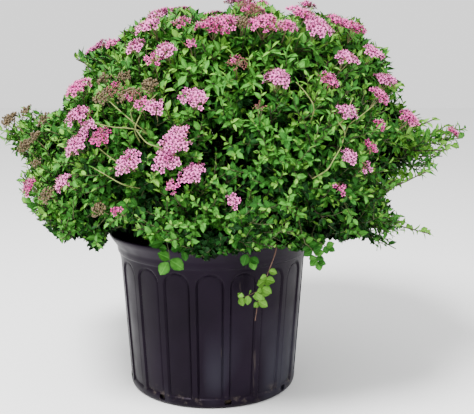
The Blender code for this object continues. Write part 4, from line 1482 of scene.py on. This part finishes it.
# %% Hanging sprigs
# Each sprig as its route's pixels, its reach in front of the pot's axis, and its leaves by foot, tip and
# tint, the tint painting the light and shade on each leaf
HANGING_SPRIGS = [
    ([(172, 224), (167, 240), (169, 253), (169, 262)], 0.212, [
        ((169, 243), (171, 229), "mid"), ((163, 242), (149, 245), "mid"),
        ((165, 240), (156, 232), "bright"), ((170, 259), (158, 253), "bright"),
        ((168, 262), (160, 275), "bright"), ((170, 260), (184, 269), "bright"),
        ((171, 250), (181, 246), "mid"), ((167, 249), (158, 247), "mid"), ((168, 236), (177, 232), "mid")]),
    ([(196, 236), (188, 246), (183, 252)], 0.208, [
        ((189, 246), (195, 254), "mid"), ((184, 251), (177, 246), "mid"),
        ((191, 242), (200, 246), "bright"), ((184, 252), (186, 261), "mid"),
        ((193, 240), (186, 236), "mid")]),
    ([(236, 240), (243, 248), (249, 256), (251, 261)], 0.190, [
        ((247, 254), (243, 266), "mid"), ((251, 260), (255, 270), "bright"),
        ((250, 258), (259, 263), "mid"), ((245, 250), (252, 247), "mid"), ((240, 245), (235, 253), "deep")]),
    ([(303, 238), (309, 246), (315, 254), (318, 262)], 0.188, [
        ((309, 246), (317, 243), "mid"), ((312, 250), (304, 256), "mid"),
        ((315, 254), (324, 252), "bright"), ((317, 259), (310, 266), "bright"),
        ((318, 262), (320, 271), "bright"), ((318, 262), (326, 264), "mid"),
        ((306, 242), (313, 238), "bright"), ((310, 248), (303, 250), "mid"),
        ((313, 252), (321, 247), "mid"), ((316, 257), (309, 259), "bright"),
        ((316, 258), (324, 259), "mid")]),
    ([(312, 236), (321, 243), (328, 248)], 0.182, [
        ((318, 240), (324, 235), "mid"), ((322, 244), (317, 250), "bright"),
        ((326, 247), (334, 243), "bright"), ((328, 248), (335, 251), "mid"),
        ((325, 246), (327, 254), "mid"), ((320, 242), (313, 243), "mid")]),
]
SPRIG_RADII = (0.0009, 0.0005)
SPRIG_TIP_REACH = 0.004


def sprig_point(pixel, reach):
    """The place on a pixel's ray that is this far in front of the pot's axis."""
    ray = pixel_ray(pixel)
    return CAMERA_PLACE + ray * ((-reach - CAMERA_PLACE.y) / ray.y)


def grow_hanging_sprigs():
    for route_pixels, reach, leaves in HANGING_SPRIGS:
        route = [sprig_point(pixel, reach) for pixel in route_pixels]
        root = lobes[owner(route[0])].centre.lerp(route[0], 0.5)
        young_lines.append((smooth_route([root] + route, 10), *SPRIG_RADII))
        for foot_pixel, tip_pixel, tint in leaves:
            foot, tip = sprig_point(foot_pixel, reach), sprig_point(tip_pixel, reach + SPRIG_TIP_REACH)
            face = ((CAMERA_PLACE - foot).normalized() + UP * 0.5).normalized()
            turn = facing_turn((tip - foot).normalized(), face)
            leaf_places[(tint, "round")].append((foot, turn, (tip - foot).length))


print(len(HANGING_SPRIGS), "hanging sprigs")

# %% [markdown]
# Everything that grows is now grown in one fixed order from one seed, so each run gives the same plant.
# The leafy wisps that stand out of the outline are placed by the pixels of their tips. Then each lobe
# grows its own shoots, and a last set ends evenly over the whole crown, to fill what is left bare.

# %% Wisps and shares of heads
PHOTO_WISPS = [
    (465, 128), (463, 138), (437, 118), (447, 150), (425, 172), (430, 234), (404, 222), (396, 249),
    (361, 236), (97, 245), (62, 239), (40, 214), (23, 203), (20, 176), (4, 138),
    (55, 115), (68, 97), (85, 62), (100, 48), (124, 33), (172, 10), (205, 18), (262, 8), (362, 35),
    (396, 78), (420, 114), (236, 9), (190, 12), (322, 17),
]
HEAD_SHARE = {"skirt": 0.02, "side": 0.10, "shoulder": 0.22, "top": 0.24}
STAGE_WEIGHTS = {"pale": 46, "rose": 22, "deep": 10, "bud": 8, "spent": 14}
HEAD_RADII = (0.012, 0.021)
HEAD_SMALLEST = 0.0055
HEAD_FULLNESS = 1.12
HEAD_UPTURN = 0.75
HEAD_LEVEL = 0.86
HIDDEN_BEHIND = 0.02
FREE_TIP_LEVEL = 1.05
FREE_TIP_TWIGS = 3
print(len(PHOTO_WISPS), "wisps placed by the photograph")

# %% Heads and wisps of the photograph


def stem_of(lobe):
    """The lobe's stem, from its bough's tip to its heart."""
    start = lobe.bough_end + lobe.bough_aim * SEAT_GAP
    bend = lobe.bough_end + lobe.bough_aim * STEM_STRAIGHT
    return [start, bend, bend.lerp(lobe.centre, 0.5), lobe.centre]


def head_normal(place, aim):
    outwards = (place - CROWN_HEART).normalized()
    return (outwards + aim * 0.3 + UP * HEAD_UPTURN).normalized()


def grow_photo_heads(rule):
    for *pixel, width, stage in PHOTO_HEADS:
        place, distance, level = crown_point(pixel)
        radius = max(HEAD_SMALLEST, HEAD_FULLNESS * width * distance / FOCAL_PIXELS / 2)
        index = owner(place)
        normal = head_normal(place, (place - lobes[index].centre).normalized())
        fork = add_head(place, normal, radius, stage, rule)
        twigs = FREE_TIP_TWIGS if level > FREE_TIP_LEVEL else SIDE_TWIGS
        add_shoot(index, fork, rule, stop=0.94, twigs=twigs, leafy_from=0.5)


def grow_photo_wisps(rule):
    for pixel in PHOTO_WISPS:
        place = crown_point(pixel)[0]
        add_shoot(owner(place), place, rule, sag=0.07, twigs=FREE_TIP_TWIGS, leafy_from=0.45)


# %% Where a shoot stops, and where it flowers


def open_here(place, rule):
    """The crown is open at its two wings and its hanging foot: few shoots there have their full length."""
    foot = smooth_step((math.hypot(place.x, place.y) - HANGING_START) / HANGING_DEPTH)
    foot *= smooth_step((HANGING_BELOW - place.z) / HANGING_FADE)
    return rule.random() < OPENNESS * max(wing_share(place), foot)


def pruned(start, end):
    """The end, or a place further back on the way to it that is inside the crown and its outline."""
    ways = [start.lerp(end, 1.0 - PRUNE_STEP * step) for step in range(PRUNE_TRIES)]
    kept = (crown_level(ways) < SHOOT_LIMIT) & outside_pot(ways, SHOOT_CLEARANCE)
    kept &= inside_outline(ways) & inside_box(ways)
    return ways[int(kept.argmax())] if kept.any() else None


def flowers_here(place, aim, rule):
    """Heads by the rule grow only where the photograph doesn't show the crown."""
    outwards = (place - CROWN_HEART).normalized()
    hidden = outwards.y > HIDDEN_BEHIND and wing_share(place) < 0.5
    return hidden and aim.z > -0.1 and rule.random() < HEAD_SHARE[lobes[owner(place)].ring]


# %% Shoots by the rule


def grow_to(index, start, end, aim, rule):
    """A shoot to a place on the crown's surface, with a flower head where the rule gives one."""
    end = pruned(start, end)
    if end is not None and open_here(end, rule):
        end = start.lerp(end, SHORT_SHARE + SHORT_GAIN_BEHIND * behind_share(end))
    if end is None or (end - start).length < SHOOT_MINIMUM:
        return
    if level_at(end) > HEAD_LEVEL and flowers_here(end, aim, rule):
        stage = rule.choices(list(STAGE_WEIGHTS), list(STAGE_WEIGHTS.values()))[0]
        end = add_head(end, head_normal(end, aim), rule.uniform(*HEAD_RADII), stage, rule)
        add_shoot(index, end, rule, start=start, stop=0.94)
    else:
        add_shoot(index, end, rule, start=start)


def grow_lobe(index, rule):
    lobe = lobes[index]
    stem = stem_of(lobe)
    old_lines.append((stem, *STEM_RADII))
    turn = lobe.outwards.to_track_quat("Z", "Y")
    for _, local_aim in spiral_aims(SHOOTS_PER_LOBE, SHOOT_SPREAD, rule.uniform(0, math.tau)):
        aim = turn @ local_aim
        end = lobe.centre + aim * lobe.reach(aim) * rule.uniform(*SHOOT_REACH) + UP * 0.012 * rule.random()
        if owner(end) == index:
            grow_to(index, along_route(stem, rule.uniform(0.55, 1.0))[0], end, aim, rule)
    for height, local_aim in spiral_aims(INNER_SHOOTS_PER_LOBE, 2):
        aim = turn @ local_aim
        inwards = 1.5 if height < -0.3 else 1.0
        end = lobe.centre + aim * lobe.reach(aim) * rule.uniform(*INNER_REACH) * inwards
        end = pruned(lobe.centre, end)
        if end is not None:
            add_shoot(index, end, rule, twigs=4, leafy_from=0.1)


def grow_surface(rule):
    """Shoots that end evenly over the whole crown, also in the valleys between its lobes."""
    for _, aim in spiral_aims(SURFACE_SHOOTS, SHOOT_SPREAD):
        points = np.array(CROWN_HEART) + SURFACE_DISTANCES[:, None] * np.array(aim)
        inside = np.nonzero(crown_level(points) < rule.uniform(*SURFACE_LEVELS))[0]
        if len(inside):
            end = Vector(points[inside[-1]])
            index = owner(end)
            grow_to(index, lobes[index].centre, end, aim, rule)


# %% Grow everything in order
growth_rule = random.Random(SEED)
grow_photo_stems(growth_rule)
grow_hanging_sprigs()
grow_photo_heads(growth_rule)
grow_photo_wisps(growth_rule)
for index in range(len(lobes)):
    grow_lobe(index, growth_rule)
grow_surface(growth_rule)
print(len(old_lines) + len(young_lines), "twigs,", len(gathered), "leaves before the tests,",
      len(head_zones), "heads")

# %% [markdown]
# ## Leaves
# A leaf is eight triangles in the outline of a real one: narrow and pointed on the upper shoots, broad
# on the low ones, folded along the midrib and curled down at its tip. Before the copies are made, the
# leaves that leave the crown, enter the pot or cover a flower head are left out.

# %% Leaf blades
# Each blade: its outline as (place along, half width), its fold and its curl
BLADES = {
    "lance": ([(0.0, 0.0), (0.30, 0.180), (0.62, 0.160), (1.0, 0.0)], 0.45, 0.16),
    "oval": ([(0.0, 0.0), (0.24, 0.265), (0.62, 0.285), (1.0, 0.0)], 0.35, 0.14),
    "round": ([(0.0, 0.0), (0.10, 0.20), (0.32, 0.39), (0.55, 0.42), (0.80, 0.27), (1.0, 0.0)], 0.20, 0.10),
}


def leaf_shape(name, outline, fold, curl):
    """A blade one unit long. Each half rises from the midrib, and the tip curls down."""
    points, faces, marks = [], [], []
    for place, half in outline:
        drop = -curl * place * place
        points += [(-half, place, drop + fold * half), (0.0, place, drop), (half, place, drop + fold * half)]
        marks += [(0.0, place), (0.5, place), (1.0, place)]
    for low in range(0, 3 * (len(outline) - 1), 3):
        high = low + 3
        faces += [(low + side, low + side + 1, high + side + 1, high + side) for side in (0, 1)]
    mesh = mesh_from(name, points, faces, smooth=False)
    mark_uv(mesh, marks)
    return new_piece(name, worked(mesh, weld(0.001)))


blades = {kind: leaf_shape(kind + "_blade", *values) for kind, values in BLADES.items()}
print("blades:", ", ".join(blades))

# %% Test and place the leaves
HEAD_CLEARANCE = (-0.002, 0.035)
LEAF_CLEARANCE = 0.002


def covers_head(middles):
    """True where a leaf's middle lies in the space just over a flower head."""
    hidden = np.zeros(len(middles), bool)
    for place, normal, radius in head_zones:
        offset = middles - np.array(place)
        height = offset @ np.array(normal)
        away = np.sqrt(np.maximum((offset ** 2).sum(1) - height ** 2, 0))
        hidden |= (away < radius * 1.02) & (height > HEAD_CLEARANCE[0]) & (height < HEAD_CLEARANCE[1])
    return hidden


def place_leaves():
    roots, aims = (np.array([leaf[part] for leaf in gathered]) for part in (0, 1))
    sizes = np.array([leaf[3] for leaf in gathered])[:, None]
    tips, middles = roots + aims * sizes, roots + aims * sizes / 2
    keep = outside_pot(tips, LEAF_CLEARANCE) & outside_pot(roots, LEAF_CLEARANCE)
    keep &= inside_box(tips) & inside_outline(middles) & ~covers_head(middles) & ~covers_head(tips)
    for (place, aim, face, size, tint, kind), kept in zip(gathered, keep):
        if kept:
            leaf_places[(tint, kind)].append((place, facing_turn(aim, face), size))
    print(int(keep.sum()), "leaves kept of", len(gathered))


place_leaves()
for (tint, kind), places in leaf_places.items():
    if places:
        piece = copies("%s_leaves_%s" % (kind, tint), blades[kind], leaf_green[tint], places)
        ride_along(piece, MASSES if (tint, kind) == ("mid", "lance") else ())
discard(*blades.values())

# %% [markdown]
# All twigs of one age are joined into one piece. The lines become tubes with three to five sides, which
# is enough for wood a millimetre thick.

# %% Twigs
TWIG_PIECES = [
    ("old_twigs", old_lines, 5, "old twig", "bark"),
    ("young_twigs", young_lines, 3, "young twig", "bark"),
    ("pale_stems", pale_lines, 5, "pale stem", "bark"),
    ("flower_stalks", stalk_lines, 3, "flower stalk", "foliage"),
]
for name, lines, sides, finish, slot in TWIG_PIECES:
    ride_along(twigs_along(name, lines, sides, wood[finish]))

# %% [markdown]
# ## Blossom
# Each small flower is five cupped petals, a dark heart and a few stamens that stand out past the
# petals. Petals, hearts and stamens differ in colour, so each kind is one joined piece of its own.

# %% Floret shapes
PETALS = 5
PETAL_ROWS = ((0.06, 0.03, 0.0), (0.34, 0.165, 0.06), (0.50, 0.10, 0.11))
BEAD_SIDES = 5
STAMENS = 5
HEART_SHARE = 0.46


def petals_shape():
    """Five cupped petals, each of three rows as (reach, half width, rise)."""
    points, faces, marks = [], [], []
    for turn in ring_angles(PETALS):
        low = len(points)
        for reach, half, rise in PETAL_ROWS:
            for side in (-1, 1):
                points.append(Matrix.Rotation(turn, 3, "Z") @ Vector((half * side, reach, rise)))
                marks.append((0.5 + side * half, reach * 2))
        faces += [(low, low + 1, low + 3, low + 2), (low + 2, low + 3, low + 5, low + 4)]
    mesh = mesh_from("petals", points, faces, smooth=False)
    mark_uv(mesh, marks)
    return new_piece("petals", mesh)


def bead_shape(name, height):
    """A small closed bead with flat facets."""
    points = [Vector((0, 0, -height * 0.5))]
    points += [on_axis(0.5, angle, 0.0) for angle in ring_angles(BEAD_SIDES)]
    points += [Vector((0, 0, height * 0.5))]
    faces = []
    for side in range(BEAD_SIDES):
        following = (side + 1) % BEAD_SIDES
        faces += [(0, 1 + following, 1 + side), (BEAD_SIDES + 1, 1 + side, 1 + following)]
    return new_piece(name, mesh_from(name, points, faces))


def stamens_shape():
    """Slim blades that stand out of the flower and end in a wider tip."""
    points = []
    for number in range(STAMENS):
        turn = math.tau * (number + 0.3) / STAMENS
        tip = on_axis(0.42 if number % 2 else 0.30, turn, 0.34)
        side = Vector((-math.sin(turn), math.cos(turn), 0)) * 0.020
        points += [on_axis(0.05, turn, 0.03), tip - side * 1.9, tip + side * 1.9 + UP * 0.03]
    faces = [(low, low + 1, low + 2) for low in range(0, len(points), 3)]
    return new_piece("stamens", mesh_from("stamens", points, faces, smooth=False))


petals, stamens = petals_shape(), stamens_shape()
heart, bead = bead_shape("heart", 0.7), bead_shape("bead", 1.1)
small_hearts = [(place, turn, size * HEART_SHARE) for place, turn, size in heart_places]
blossom = [("petals_" + name, petals, petal_pink[name], places) for name, places in petal_places.items()]
blossom += [("floret_hearts", heart, bead_colour["floret heart"], small_hearts),
            ("floret_stamens", stamens, bead_colour["stamens"], stamen_places),
            ("buds", bead, bead_colour["buds"], bud_places),
            ("spent_florets", bead, bead_colour["spent florets"], seed_places)]
for values in blossom:
    ride_along(copies(*values))
discard(petals, heart, stamens, bead)

# %% [markdown]
# ## The trailing shoot
# One thin shoot leaves the crown at the front right, bends over the lip and hangs down the pot's wall.
# Its leaves are small and rounded, in the young tint: partly the yellow-green of young leaves, partly painted
# light.

# %% Trailing shoot
# Azimuth in degrees, radius and height of the bough's tip and of the places that the shoot hangs through
TRAILING_BOUGH_END = (-58.0, 0.1460, 0.2225)
TRAILING_DROP = [(-60.5, 0.162, 0.212), (-63.0, 0.156, 0.186), (-65.5, 0.148, 0.158), (-66.5, 0.141, 0.124)]
TRAILING_BOUGH_LIFT = 0.04
TRAILING_BARK_SEED = 71.3
TRAILING_START = 0.008
TRAILING_POINTS = 22
TRAILING_LEAF = 0.0115
TRAILING_BLADE = (0.25, 0.12)
TRAILING_LEAVES = (0.57, 0.62, 0.65, 0.66, 0.69, 0.71, 0.73, 0.74, 0.77, 0.78, 0.81, 0.82, 0.85, 0.86)
SPRIG_FROM = 0.74
SPRIG_RUN = Vector((-0.027, -0.006, -0.010))
SPRIG_LEAVES = (0.30, 0.55, 0.62, 0.85, 0.90, 0.97, 1.0)


def at_azimuth(degrees, radius, height):
    return on_axis(radius, math.radians(degrees), height)


def trailing_leaf(line, number, share, rule):
    """A leaf to one side of the line or the other, as (point, turn, size)."""
    place, ahead = along_route(line, share)
    outwards = Vector((place.x, place.y, 0)).normalized()
    side = ahead.cross(outwards).normalized() * (1 if number % 2 else -1)
    aim = (ahead * rule.uniform(-0.5, 0.9) + side + outwards * rule.uniform(0.2, 1.1)).normalized()
    face = (outwards + UP * rule.uniform(0.1, 1.0) + side * rule.uniform(-0.8, 0.8)).normalized()
    return place, facing_turn(aim, face), TRAILING_LEAF * rule.uniform(0.75, 1.2)


def make_trailing_shoot():
    rule = random.Random(SEED + 5)
    bough = bough_route(at_azimuth(*TRAILING_BOUGH_END), TRAILING_BOUGH_LIFT)
    make_bark_bough("trailing_bough", bough, TRAILING_BARK_SEED)
    aim = (bough[-1] - bough[-2]).normalized()
    seat = [bough[-1] + aim * SEAT_GAP, bough[-1] + aim * TRAILING_START]
    route = smooth_route(seat + [at_azimuth(*place) for place in TRAILING_DROP], TRAILING_POINTS)
    fork = along_route(route, SPRIG_FROM)[0]
    sprig = arched(fork, fork + SPRIG_RUN, 0.1, 5)
    lines = [(route, 0.0008, 0.0005), (sprig, 0.0005, 0.0003)]
    ride_along(twigs_along("trailing_stem", lines, 6, wood["red twig"]))
    places = [trailing_leaf(line, number, share, rule)
              for line, shares in ((route, TRAILING_LEAVES), (sprig, SPRIG_LEAVES))
              for number, share in enumerate(shares)]
    blade = leaf_shape("trailing_blade", BLADES["round"][0], *TRAILING_BLADE)
    # The young tint adds painted light to these leaves besides their young colour
    piece = copies("trailing_leaves", blade, leaf_green["young"], places)
    discard(blade)
    ride_along(piece, ["trailing_shoot"])


make_trailing_shoot()
